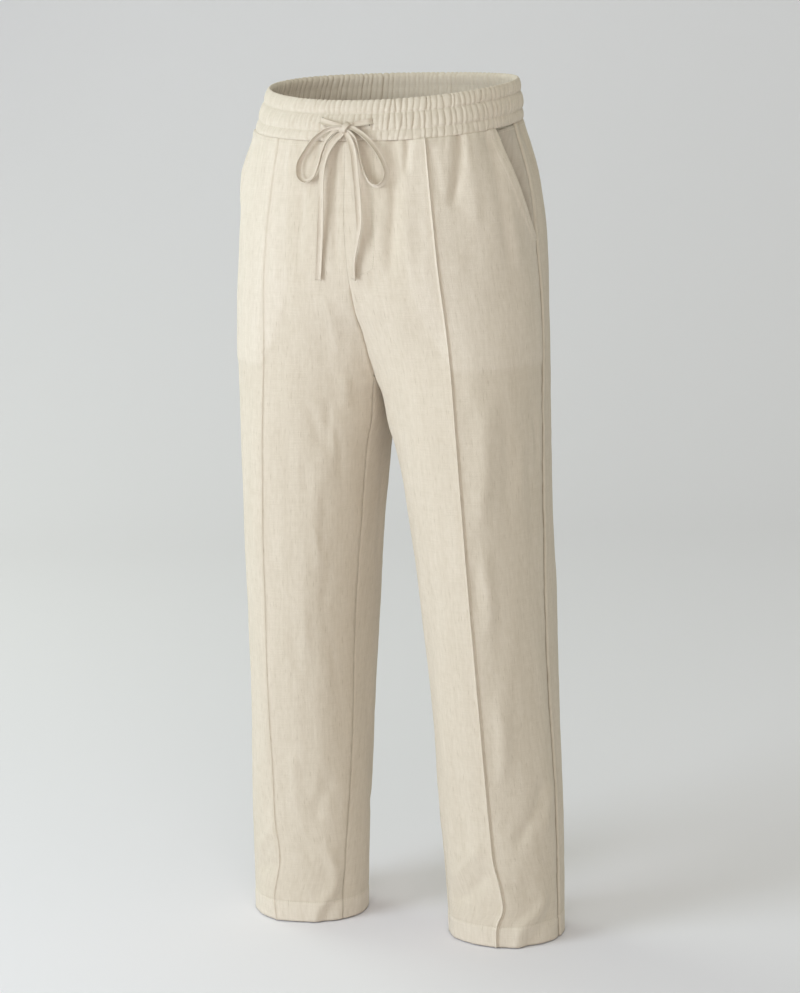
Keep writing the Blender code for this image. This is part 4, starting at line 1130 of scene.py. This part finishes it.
# rows: x, how far in front of the cloth, height above the hems, roll in degrees, share of full width
LEFT_STRING = (
    (-0.0362, -0.0012, 0.9983, 20, 0.90), (-0.0330, 0.0016, 0.9976, 27, 0.95), (-0.0200, 0.0034, 0.9950, 22, 0.85), (-0.0072, 0.0044, 0.9925, 15, 0.70),
    (0.0008, 0.0056, 0.9905, 20, 0.55), (0.0010, 0.0080, 0.9905, 30, 0.55),
    (-0.0068, 0.0098, 0.9912, 40, 0.75), (-0.0180, 0.0090, 0.9900, 48, 0.80), (-0.0330, 0.0070, 0.9822, 53, 0.84), (-0.0493, 0.0062, 0.9651, 55, 0.84),
    (-0.0592, 0.0060, 0.9475, 55, 0.84), (-0.0569, 0.0060, 0.9336, 53, 0.84), (-0.0488, 0.0060, 0.9290, 53, 0.84), (-0.0380, 0.0060, 0.9345, 53, 0.84),
    (-0.0306, 0.0062, 0.9490, 53, 0.84), (-0.0264, 0.0064, 0.9650, 51, 0.84), (-0.0199, 0.0068, 0.9778, 49, 0.80), (-0.0075, 0.0066, 0.9882, 40, 0.75),
    (-0.0005, 0.0060, 0.9880, 25, 0.60), (-0.0012, 0.0046, 0.9855, 10, 0.65),
    (-0.0036, 0.0044, 0.9832, 0, 0.80), (-0.0104, 0.0064, 0.9765, -6, 0.92), (-0.0178, 0.0076, 0.9655, -10, 0.95), (-0.0225, 0.0082, 0.9490, -14, 0.95),
    (-0.0250, 0.0082, 0.9260, -14, 0.95), (-0.0258, 0.0072, 0.8960, -4, 0.95), (-0.0292, 0.0050, 0.8620, 8, 0.96), (-0.0364, 0.0030, 0.8135, 4, 0.94))
RIGHT_STRING = (
    (0.0322, -0.0012, 0.9972, -20, 0.90), (0.0293, 0.0018, 0.9967, -27, 0.95), (0.0195, 0.0034, 0.9952, -22, 0.85), (0.0096, 0.0046, 0.9936, -15, 0.70),
    (0.0022, 0.0058, 0.9915, 10, 0.55), (0.0030, 0.0072, 0.9905, 30, 0.55),
    (0.0098, 0.0078, 0.9902, 40, 0.75), (0.0165, 0.0076, 0.9874, 48, 0.80), (0.0290, 0.0070, 0.9793, 53, 0.84), (0.0402, 0.0064, 0.9677, 55, 0.84),
    (0.0505, 0.0060, 0.9515, 55, 0.84), (0.0543, 0.0060, 0.9370, 53, 0.84), (0.0512, 0.0060, 0.9289, 53, 0.84), (0.0443, 0.0060, 0.9249, 53, 0.84),
    (0.0374, 0.0060, 0.9273, 53, 0.84), (0.0306, 0.0062, 0.9365, 53, 0.84), (0.0248, 0.0064, 0.9520, 51, 0.84), (0.0208, 0.0068, 0.9670, 49, 0.84),
    (0.0165, 0.0078, 0.9790, 42, 0.95), (0.0092, 0.0086, 0.9862, 40, 0.75),
    (0.0030, 0.0066, 0.9868, 25, 0.60), (0.0022, 0.0046, 0.9850, 10, 0.65),
    (0.0044, 0.0044, 0.9832, 0, 0.80), (0.0100, 0.0066, 0.9765, 4, 0.92), (0.0149, 0.0080, 0.9640, 10, 0.95), (0.0178, 0.0086, 0.9480, 14, 0.95),
    (0.0206, 0.0086, 0.9264, 14, 0.95), (0.0230, 0.0082, 0.9024, 8, 0.95), (0.0237, 0.0074, 0.8805, -10, 0.95), (0.0203, 0.0064, 0.8600, -42, 0.92),
    (0.0146, 0.0048, 0.8390, -52, 0.85), (0.0095, 0.0034, 0.8147, -28, 0.85))


def tape_line(rows, cloth, count):
    pts = []
    for x, out, h, roll, wide in rows:
        ys = []
        for dx in (-0.003, 0.0, 0.003):
            for dz in (-0.003, 0.0, 0.003):
                p, _ = cloth.drop((x + dx, -0.14, h + dz - WAIST), (0, 1, 0), 0.12)
                ys.append(p[1])
        pts.append((x, float(np.percentile(ys, 22)) - out, h - WAIST, roll / 57.29578, wide))
    return through(pts, count)


# the tape's section: across as a share of its half width, and thickness
TAPE_SECTION = ((-1.0, 0.0), (-0.965, 0.72), (-0.88, 1.0), (-0.76, 0.84), (-0.5, 0.74), (0.0, 0.70), (0.5, 0.74), (0.76, 0.84), (0.88, 1.0), (0.965, 0.72),
                (1.0, 0.0), (0.965, -0.72), (0.88, -1.0), (0.76, -0.84), (0.5, -0.74), (0.0, -0.70), (-0.5, -0.74), (-0.76, -0.84), (-0.88, -1.0), (-0.965, -0.72))


def ribbon(line, cup, face=(0.0, -1.0, 0.0), ends=(False, False), width=TAPE_WIDE, thick=TAPE_THICK):
    """Points, faces and UVs of a tape along a line of (x, y, z, roll, width)."""
    p, roll, wide_share = line[:, :3], line[:, 3], line[:, 4]
    tangent = np.gradient(p, axis=0)
    tangent /= np.linalg.norm(tangent, axis=1, keepdims=True)
    face = np.broadcast_to(np.asarray(face, float), p.shape)
    out = face - tangent * (tangent * face).sum(1)[:, None]
    out /= np.maximum(np.linalg.norm(out, axis=1, keepdims=True), 1e-6)
    across = np.cross(tangent, out)
    wide = across * np.cos(roll)[:, None] + out * np.sin(roll)[:, None]
    thin = np.cross(wide, tangent)
    sign = np.sign((thin * out).sum(1))[:, None]
    thin = thin * np.where(sign == 0, 1, sign)
    along = np.concatenate([[0], np.cumsum(np.linalg.norm(np.diff(p, axis=0), axis=1))])
    section = np.array(TAPE_SECTION)
    half_w = (width / 2 * wide_share)[:, None]
    t_scale = np.full(len(p), thick / 2)
    if ends[1]:  # turned back and stitched end
        t_scale = t_scale * (1 + 0.45 * step(along, along[-1] - 0.0082, along[-1] - 0.0074))
    cups = cup if np.ndim(cup) else np.full(len(p), cup)
    w = section[None, :, 0] * half_w
    t = section[None, :, 1] * t_scale[:, None] + (section[None, :, 0] ** 2 - 0.45) * cups[:, None]
    # a faint ripple along both edges
    t = t + 0.00008 * np.sin(along[:, None] * 900 + section[None, :, 0] * 3)
    points = p[:, None] + wide[:, None] * w[..., None] + thin[:, None] * t[..., None]
    rows, columns = points.shape[:2]
    i, j = np.meshgrid(np.arange(rows - 1), np.arange(columns), indexing="ij")
    a, b = i * columns + j, i * columns + (j + 1) % columns
    faces = np.stack([a, b, b + columns, a + columns], -1).reshape(-1, 4).tolist()
    faces.append(tuple(range(columns))[::-1])
    faces.append(tuple((rows - 1) * columns + k for k in range(columns)))
    uv = np.stack(np.broadcast_arrays(w, along[:, None]), -1)
    # which way the faces wind depends on the frame; the first quad decides
    q = points.reshape(-1, 3)
    f = faces[len(faces) // 2]
    centre = p[min(f[0] // columns, rows - 1)]
    normal = np.cross(q[f[1]] - q[f[0]], q[f[2]] - q[f[0]])
    if normal @ (q[list(f)].mean(0) - centre) < 0:
        faces = [tuple(x[::-1]) for x in faces]
    return q, faces, uv.reshape(-1, 2), thin, wide


def join(parts):
    points, faces, uvs, base = [], [], [], 0
    for p, f, u in parts:
        points.append(p)
        uvs.append(u)
        faces += [tuple(base + i for i in face) for face in f]
        base += len(p)
    return np.vstack(points), faces, np.vstack(uvs)


def build_strings(finish, thread, cloth):
    made = {}
    for word, rows in (("left", LEFT_STRING), ("right", RIGHT_STRING)):
        line = tape_line(rows, cloth, 230)
        # soft along its length: the gutter deepens and flattens
        s = np.linspace(0, 1, len(line))
        cup = 0.00175 + 0.00040 * np.sin(2 * pi * s * 5 + (0 if word == "left" else 1.3))
        points, faces, uv, thin, wide = ribbon(line, cup, ends=(False, True))
        obj = mesh_object(f"drawstring_{word}", points, faces, finish, uv)
        made[word] = (obj, line, thin, wide)
    return made


def build_knot(finish, cloth):
    hit, _ = cloth.drop((KNOT["x"], -0.14, KNOT["height"] - WAIST), (0, 1, 0))
    k = np.array([KNOT["x"], hit[1] - KNOT["out"], KNOT["height"] - WAIST])
    parts = []
    # core: the bundled turns, as a crumpled lump
    import bmesh
    bm = bmesh.new()
    bmesh.ops.create_icosphere(bm, subdivisions=4, radius=1.0)
    co = np.array([v.co for v in bm.verts])
    core_faces = [tuple(v.index for v in f.verts) for f in bm.faces]
    bm.free()
    wob = 1 + 0.10 * noise(co * 2.3 + 5, 61)
    core = k + co * wob[:, None] * (0.0058, 0.0038, 0.0050) + (0, 0.0006, 0)
    parts.append((core, core_faces, co[:, :2] * 0.005))
    # the wrap: a turn of tape round the core, leaning to the upper right of the wearer's left
    lean = 0.62
    up = np.array([np.sin(lean), 0, np.cos(lean)])
    theta = np.linspace(0, 2 * pi, 64)
    centre = k + np.array([0.0012, 0, 0.0006])
    rows = np.stack([*(centre + up * (0.0060 * np.cos(theta))[:, None] + np.array([0, -1.0, 0]) * (0.0056 * np.sin(theta))[:, None]).T,
                     np.zeros(64), 0.78 + 0.06 * np.cos(theta * 2)], -1)
    face = (rows[:, :3] - centre) / np.linalg.norm(rows[:, :3] - centre, axis=1, keepdims=True)
    p, f, u, _, _ = ribbon(rows, -0.0004, face=face)
    parts.append((p, f, u))
    # a fold of tape that comes out under the wrap, low on the right of the wearer
    tab = [(-0.0002, 0.0066, 0.0030, 0.2, 0.62), (-0.0032, 0.0064, -0.0004, 0.15, 0.66), (-0.0050, 0.0050, -0.0044, 0.05, 0.60), (-0.0050, 0.0032, -0.0078, 0.0, 0.52)]
    line = through([(k[0] + x, k[1] + KNOT["out"] - y - 0.003, k[2] + z, r, w) for x, y, z, r, w in tab], 24)
    p, f, u, _, _ = ribbon(line, -0.0005)
    parts.append((p, f, u))
    # and one across the back, joining the two runs
    bar = [(-0.0095, 0.0040, 0.0022, 0.1, 0.72), (-0.0040, 0.0056, 0.0012, 0.1, 0.70), (0.0030, 0.0058, 0.0020, 0.0, 0.70), (0.0100, 0.0044, 0.0032, -0.1, 0.72)]
    line = through([(k[0] + x, k[1] + KNOT["out"] - y, k[2] + z, r, w) for x, y, z, r, w in bar], 24)
    p, f, u, _, _ = ribbon(line, 0.0004)
    parts.append((p, f, u))
    points, faces, uv = join(parts)
    return mesh_object("drawstring_knot_tape", points, faces, finish, uv)


def string_end_runs(strings):
    """Stitches across the turned-back end of each string, in two rows."""
    runs = []
    for obj, line, thin, wide in strings.values():
        p, w, t = line[-1, :3], wide[-1], thin[-1]
        back = line[-10, :3] - line[-1, :3]
        back /= np.linalg.norm(back)
        half = TAPE_WIDE / 2 * line[-1, 4] * 0.78
        lift = TAPE_THICK / 2 * 1.45
        for dist in (0.0012, 0.0066):
            a = p + back * dist
            pts = np.array([a - w * half + t * (lift + 0.0003), a + t * (lift - 0.0002), a + w * half + t * (lift + 0.0003)])
            runs.append((pts, np.array([t, t, t]), 0.0016, 0.0012, 0.00020))
    return runs


# ---------------------------------------------------------------- materials
def nodes_for(name):
    made = bpy.data.materials.new(name)
    made.use_nodes = True
    tree = made.node_tree
    return made, tree, tree.nodes["Principled BSDF"]


def add(tree, kind, **settings):
    node = tree.nodes.new(kind)
    for key, value in settings.items():
        setattr(node, key, value)
    return node


def math(tree, operation, a, b=None, clamp=False):
    node = add(tree, "ShaderNodeMath", operation=operation, use_clamp=clamp)
    for socket, value in zip(node.inputs, (a, b)):
        if value is None:
            continue
        if isinstance(value, (int, float)):
            socket.default_value = value
        else:
            tree.links.new(value, socket)
    return node.outputs[0]


def stretched_noise(tree, uv, scale, detail=2.0, rough=0.5):
    mapping = add(tree, "ShaderNodeMapping")
    mapping.inputs["Scale"].default_value = (*scale, 1.0)
    tree.links.new(uv, mapping.inputs["Vector"])
    made = add(tree, "ShaderNodeTexNoise", noise_dimensions="2D")
    made.inputs["Scale"].default_value = 1.0
    made.inputs["Detail"].default_value = detail
    made.inputs["Roughness"].default_value = rough
    tree.links.new(mapping.outputs[0], made.inputs["Vector"])
    return made.outputs["Fac"]


def woven(name, dark, light, fleck, pitch, streak=1.0, backing=0.05, rough=0.88, sheen=0.12, bump=0.8, ribs=False):
    """Plain-woven linen: threads both ways, slubs along them, cloudy colour, and darker flecks."""
    made, tree, shader = nodes_for(name)
    uv = add(tree, "ShaderNodeUVMap", uv_map="cloth").outputs["UV"]
    across = stretched_noise(tree, uv, (1250, 30), 2.0)      # warp threads, thick and thin
    slub = stretched_noise(tree, uv, (330, 11), 2.5)         # slubs and soft streaks
    weft = stretched_noise(tree, uv, (34, 1150), 2.0)        # weft threads
    cloud = stretched_noise(tree, uv, (60, 7), 3.0)          # cloudy patches
    mottle = stretched_noise(tree, uv, (260, 90), 3.0)       # fine unevenness both ways
    mixed = math(tree, "MULTIPLY", across, 0.20 * streak)
    mixed = math(tree, "ADD", mixed, math(tree, "MULTIPLY", slub, 0.14 * streak))
    mixed = math(tree, "ADD", mixed, math(tree, "MULTIPLY", weft, 0.16 * streak))
    mixed = math(tree, "ADD", mixed, math(tree, "MULTIPLY", mottle, 0.22))
    mixed = math(tree, "ADD", mixed, math(tree, "MULTIPLY", cloud, 0.16))
    ramp = add(tree, "ShaderNodeValToRGB")
    mid = 0.5 * (0.50 * streak + 0.38)
    ramp.color_ramp.elements[0].position = mid - 0.13
    ramp.color_ramp.elements[0].color = (*dark, 1)
    ramp.color_ramp.elements[1].position = mid + 0.13
    ramp.color_ramp.elements[1].color = (*light, 1)
    tree.links.new(mixed, ramp.inputs["Fac"])
    flecks = stretched_noise(tree, uv, (520, 60), 1.0)
    spots = add(tree, "ShaderNodeMapRange")
    spots.inputs["From Min"].default_value = 0.70
    spots.inputs["From Max"].default_value = 0.80
    spots.inputs["To Max"].default_value = 0.35
    tree.links.new(flecks, spots.inputs["Value"])
    mix = add(tree, "ShaderNodeMix", data_type="RGBA")
    tree.links.new(spots.outputs[0], mix.inputs["Factor"])
    colour_in = [s for s in mix.inputs if s.type == "RGBA"]
    tree.links.new(ramp.outputs["Color"], colour_in[0])
    colour_in[1].default_value = (*fleck, 1)
    colour = [s for s in mix.outputs if s.type == "RGBA"][0]
    if backing:
        # cloth with another layer behind it looks a little lighter
        backed = add(tree, "ShaderNodeAttribute", attribute_name="backed")
        share = math(tree, "MULTIPLY", backed.outputs["Fac"], 1.0, clamp=True)
        lift = add(tree, "ShaderNodeMix", data_type="RGBA", blend_type="MULTIPLY")
        rgba = [s for s in lift.inputs if s.type == "RGBA"]
        factor = [s for s in lift.inputs if s.type == "VALUE"][0]
        flip = math(tree, "SUBTRACT", 1.0, share)
        tree.links.new(flip, factor)
        tree.links.new(colour, rgba[0])
        rgba[1].default_value = (1 - backing, 1 - backing * 1.15, 1 - backing * 1.5, 1)
        colour = [s for s in lift.outputs if s.type == "RGBA"][0]
    # painted shade at the side seams and inseams: the colour darkens towards this olive, for the shadow in their
    # grooves where little light reaches
    seam_painted_shade = add(tree, "ShaderNodeAttribute", attribute_name="seam_painted_shade")
    deep = math(tree, "MULTIPLY", seam_painted_shade.outputs["Fac"], 1.0, clamp=True)
    shade = add(tree, "ShaderNodeMix", data_type="RGBA", blend_type="MULTIPLY")
    rgba = [s for s in shade.inputs if s.type == "RGBA"]
    tree.links.new(deep, [s for s in shade.inputs if s.type == "VALUE"][0])
    tree.links.new(colour, rgba[0])
    rgba[1].default_value = (0.34, 0.30, 0.24, 1)
    colour = [s for s in shade.outputs if s.type == "RGBA"][0]
    tree.links.new(colour, shader.inputs["Base Color"])
    # roughness varies a little with the threads
    rough_range = add(tree, "ShaderNodeMapRange")
    rough_range.inputs["To Min"].default_value = rough - 0.07
    rough_range.inputs["To Max"].default_value = min(rough + 0.07, 1.0)
    tree.links.new(slub, rough_range.inputs["Value"])
    tree.links.new(rough_range.outputs[0], shader.inputs["Roughness"])
    shader.inputs["Sheen Weight"].default_value = sheen
    shader.inputs["Sheen Roughness"].default_value = 0.45
    shader.inputs["Specular IOR Level"].default_value = 0.25
    # threads
    parts = add(tree, "ShaderNodeSeparateXYZ")
    tree.links.new(uv, parts.inputs[0])
    u = math(tree, "SINE", math(tree, "MULTIPLY", parts.outputs[0], 2 * pi / pitch))
    if ribs:
        v = math(tree, "SINE", math(tree, "MULTIPLY", math(tree, "ADD", parts.outputs[1], math(tree, "ABSOLUTE", parts.outputs[0])), 2 * pi / (pitch * 1.6)))
    else:
        v = math(tree, "SINE", math(tree, "MULTIPLY", parts.outputs[1], 2 * pi / pitch))
    weave = math(tree, "MULTIPLY", math(tree, "MULTIPLY", u, v), 0.25)
    height = math(tree, "ADD", weave, math(tree, "MULTIPLY", across, 0.75))
    height = math(tree, "ADD", height, math(tree, "MULTIPLY", weft, 0.65))
    height = math(tree, "ADD", height, math(tree, "MULTIPLY", slub, 0.35))
    bump_node = add(tree, "ShaderNodeBump")
    bump_node.inputs["Strength"].default_value = bump
    bump_node.inputs["Distance"].default_value = 0.00030
    tree.links.new(height, bump_node.inputs["Height"])
    tree.links.new(bump_node.outputs[0], shader.inputs["Normal"])
    return made


def plied(name, dark, light):
    """Sewing thread: a twisted ply."""
    made, tree, shader = nodes_for(name)
    uv = add(tree, "ShaderNodeUVMap", uv_map="cloth").outputs["UV"]
    parts = add(tree, "ShaderNodeSeparateXYZ")
    tree.links.new(uv, parts.inputs[0])
    twist = math(tree, "SINE", math(tree, "MULTIPLY", math(tree, "ADD", parts.outputs[0], parts.outputs[1]), 2 * pi / 0.0006))
    ramp = add(tree, "ShaderNodeValToRGB")
    ramp.color_ramp.elements[0].color = (*dark, 1)
    ramp.color_ramp.elements[1].color = (*light, 1)
    tree.links.new(math(tree, "MULTIPLY_ADD", twist, 0.5), ramp.inputs["Fac"])
    ramp.inputs["Fac"].links[0].from_node.inputs[2].default_value = 0.5
    tree.links.new(ramp.outputs["Color"], shader.inputs["Base Color"])
    shader.inputs["Roughness"].default_value = 0.62
    shader.inputs["Sheen Weight"].default_value = 0.1
    bump_node = add(tree, "ShaderNodeBump")
    bump_node.inputs["Strength"].default_value = 0.5
    bump_node.inputs["Distance"].default_value = 0.0001
    tree.links.new(twist, bump_node.inputs["Height"])
    tree.links.new(bump_node.outputs[0], shader.inputs["Normal"])
    return made


def plain_stage(name, colour):
    made, tree, shader = nodes_for(name)
    shader.inputs["Base Color"].default_value = (*colour, 1)
    shader.inputs["Roughness"].default_value = 0.95
    shader.inputs["Specular IOR Level"].default_value = 0.1
    return made


# ---------------------------------------------------------------- camera, light, stage
CAMERA_AT = (1.52881, -3.20236, 0.23533)
FORWARD = (-0.42315, 0.88429, -0.19743)
ROLL = -0.0362
HEADING = 0.4463


def build_camera():
    data = bpy.data.cameras.new("camera")
    cam = linked(bpy.data.objects.new("camera", data))
    fw = Vector(FORWARD).normalized()
    right = Vector((np.cos(HEADING), np.sin(HEADING), 0)).normalized()
    up = right.cross(fw).normalized()
    c, s = np.cos(ROLL), np.sin(ROLL)
    r2, u2 = right * c + up * s, -right * s + up * c
    m = Matrix((r2, u2, -fw)).transposed().to_4x4()
    m.translation = Vector(CAMERA_AT)
    cam.matrix_world = m
    data.sensor_fit = "AUTO"
    data.sensor_width = 36.0
    data.lens = 2953.17 * 36.0 / 993.0
    data.clip_start, data.clip_end = 0.05, 60
    bpy.context.scene.camera = cam
    return cam


def area_light(name, at, aim, size, power, colour=(1, 1, 1)):
    data = bpy.data.lights.new(name, "AREA")
    data.shape = "RECTANGLE"
    data.size, data.size_y = size
    data.energy = power
    data.color = colour
    lamp = linked(bpy.data.objects.new(name, data))
    lamp.location = at
    lamp.rotation_euler = (Vector(aim) - Vector(at)).to_track_quat("-Z", "Y").to_euler()
    return lamp


def build_stage():
    """A seamless floor and backdrop, turned to the camera's heading."""
    right = np.array([np.cos(HEADING), np.sin(HEADING), 0])
    away = np.array([-np.sin(HEADING), np.cos(HEADING), 0])
    radius, back = 1.6, 2.2
    profile = [(-9.0, 0.0), (-4.0, 0.0), (-1.0, 0.0), (0.6, 0.0), (back, 0.0)]
    profile += [(back + radius * np.sin(a), radius * (1 - np.cos(a))) for a in np.linspace(0, pi / 2, 25)[1:]]
    profile += [(back + radius, 4.0), (back + radius, 7.0)]
    xs = np.linspace(-9, 9, 13)
    points = [right * x + away * d + np.array([0, 0, z - WAIST - 0.0015]) for d, z in profile for x in xs]
    faces = quads(len(profile), len(xs))[:, ::-1]
    floor = mesh_object("stage_floor", np.array(points), faces, plain_stage("stage", STAGE_COLOUR))
    return floor


STAGE_COLOUR = (0.825, 0.806, 0.850)
AIM = (0.0, 0.0, -0.45)
# name, direction from the object, distance, size, power, colour
LAMPS = (("key", (-0.62, -0.75, 0.15), 3.2, 1.5, 46.5, (0.89, 1.0, 1.13)), ("key_high", (-0.487, -0.728, 0.5), 3.2, 1.5, 14.0, (0.87, 1.0, 0.98)),
         ("front", (0.43, -0.90, 0.30), 4.0, 2.4, 36.0, (1.06, 1.0, 1.03)), ("edge", (-0.90, 0.30, 0.50), 3.2, 1.5, 22.0, (0.90, 1.0, 0.86)))
WORLD = (0.515, 0.530, 0.462)


def build_light():
    for name, toward, away, size, power, colour in LAMPS:
        at = Vector(AIM) + Vector(toward).normalized() * away
        area_light(name, at, AIM, (size, size), power, colour)
    world = bpy.data.worlds.new("studio")
    bpy.context.scene.world = world
    world.use_nodes = True
    world.node_tree.nodes["Background"].inputs["Color"].default_value = (*WORLD, 1)
    world.node_tree.nodes["Background"].inputs["Strength"].default_value = 1.0
    view = bpy.context.scene.view_settings
    view.view_transform = "Standard"
    view.look = "None"
    view.exposure = 0.0
    view.gamma = 1.0


# ---------------------------------------------------------------- the whole
LINEN_LIGHT, LINEN_DARK, LINEN_FLECK = (0.734, 0.652, 0.552), (0.630, 0.548, 0.446), (0.44, 0.36, 0.265)
TAPE_LIGHT, TAPE_DARK = (0.705, 0.620, 0.520), (0.610, 0.525, 0.425)


def main():
    rng = np.random.default_rng(SEED)
    build_camera()
    linen = woven("linen", LINEN_DARK, LINEN_LIGHT, LINEN_FLECK, 0.00075)
    linen_band = woven("linen_band", LINEN_DARK, LINEN_LIGHT, LINEN_FLECK, 0.00075, backing=0.0)
    # the pocket piece in the linen darkened to 0.80 and 0.82 of it: painted shade for the facing behind the pocket's
    # mouth
    linen_pocket = woven("linen_pocket", tuple(c * 0.80 for c in LINEN_DARK), tuple(c * 0.82 for c in LINEN_LIGHT), LINEN_FLECK, 0.00075, backing=0.0)
    tape = woven("linen_tape", TAPE_DARK, TAPE_LIGHT, LINEN_FLECK, 0.00060, streak=0.8, backing=0.0, ribs=True)
    thread = plied("thread", (0.66, 0.60, 0.49), (0.80, 0.74, 0.62))
    # near-black linen for the buttonholes' slits: painted shade
    slit_painted_shade = woven("buttonhole_shade", (0.10, 0.080, 0.055), (0.13, 0.105, 0.075), (0.08, 0.06, 0.04), 0.0006, backing=0.0)

    waistband, band = build_waistband(linen_band, rng)
    lines = fold_lines() + gather_lines(rng, band)
    panels, grids = build_panels(linen, lines)
    pockets = build_pockets(linen_pocket, lines)
    cloth = Cloth([*panels.values(), waistband])

    strings = build_strings(tape, thread, cloth)
    knot = build_knot(tape, cloth)

    band_runs, panel_runs, bar_runs, slits = runs_for_stitching(Cloth([*panels.values(), *pockets.values(), waistband]), band)
    stitches = [stitch_mesh("stitches_waistband", band_runs, thread), stitch_mesh("stitches_panels", panel_runs, thread),
                stitch_mesh("stitches_bars", bar_runs, thread), stitch_mesh("stitches_string_ends", string_end_runs(strings), thread)]
    slit_obj = build_slits(slits, slit_painted_shade)

    # cloth pieces: each stands for its own node
    for name, obj in panels.items():
        node = name[len("cloth_"):]
        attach(obj, "root")
        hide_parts(node)
    for name, obj in pockets.items():
        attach(obj, "root")
        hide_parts(name[len("cloth_"):])
    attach(waistband, "root")
    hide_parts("waistband")
    for obj in [*stitches, slit_obj, knot]:
        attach(obj, "root")
    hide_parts("drawstring_knot")
    for word, (obj, line, _, _) in strings.items():
        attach(obj, "root")
        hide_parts(f"drawstring_{word}_run", f"drawstring_{word}_loop", f"drawstring_{word}_tail")
        length = float(np.linalg.norm(np.diff(line[:, :3], axis=0), axis=1).sum())
        print(f"string {word}: {length:.4f} m")

    build_stage()
    build_light()


main()
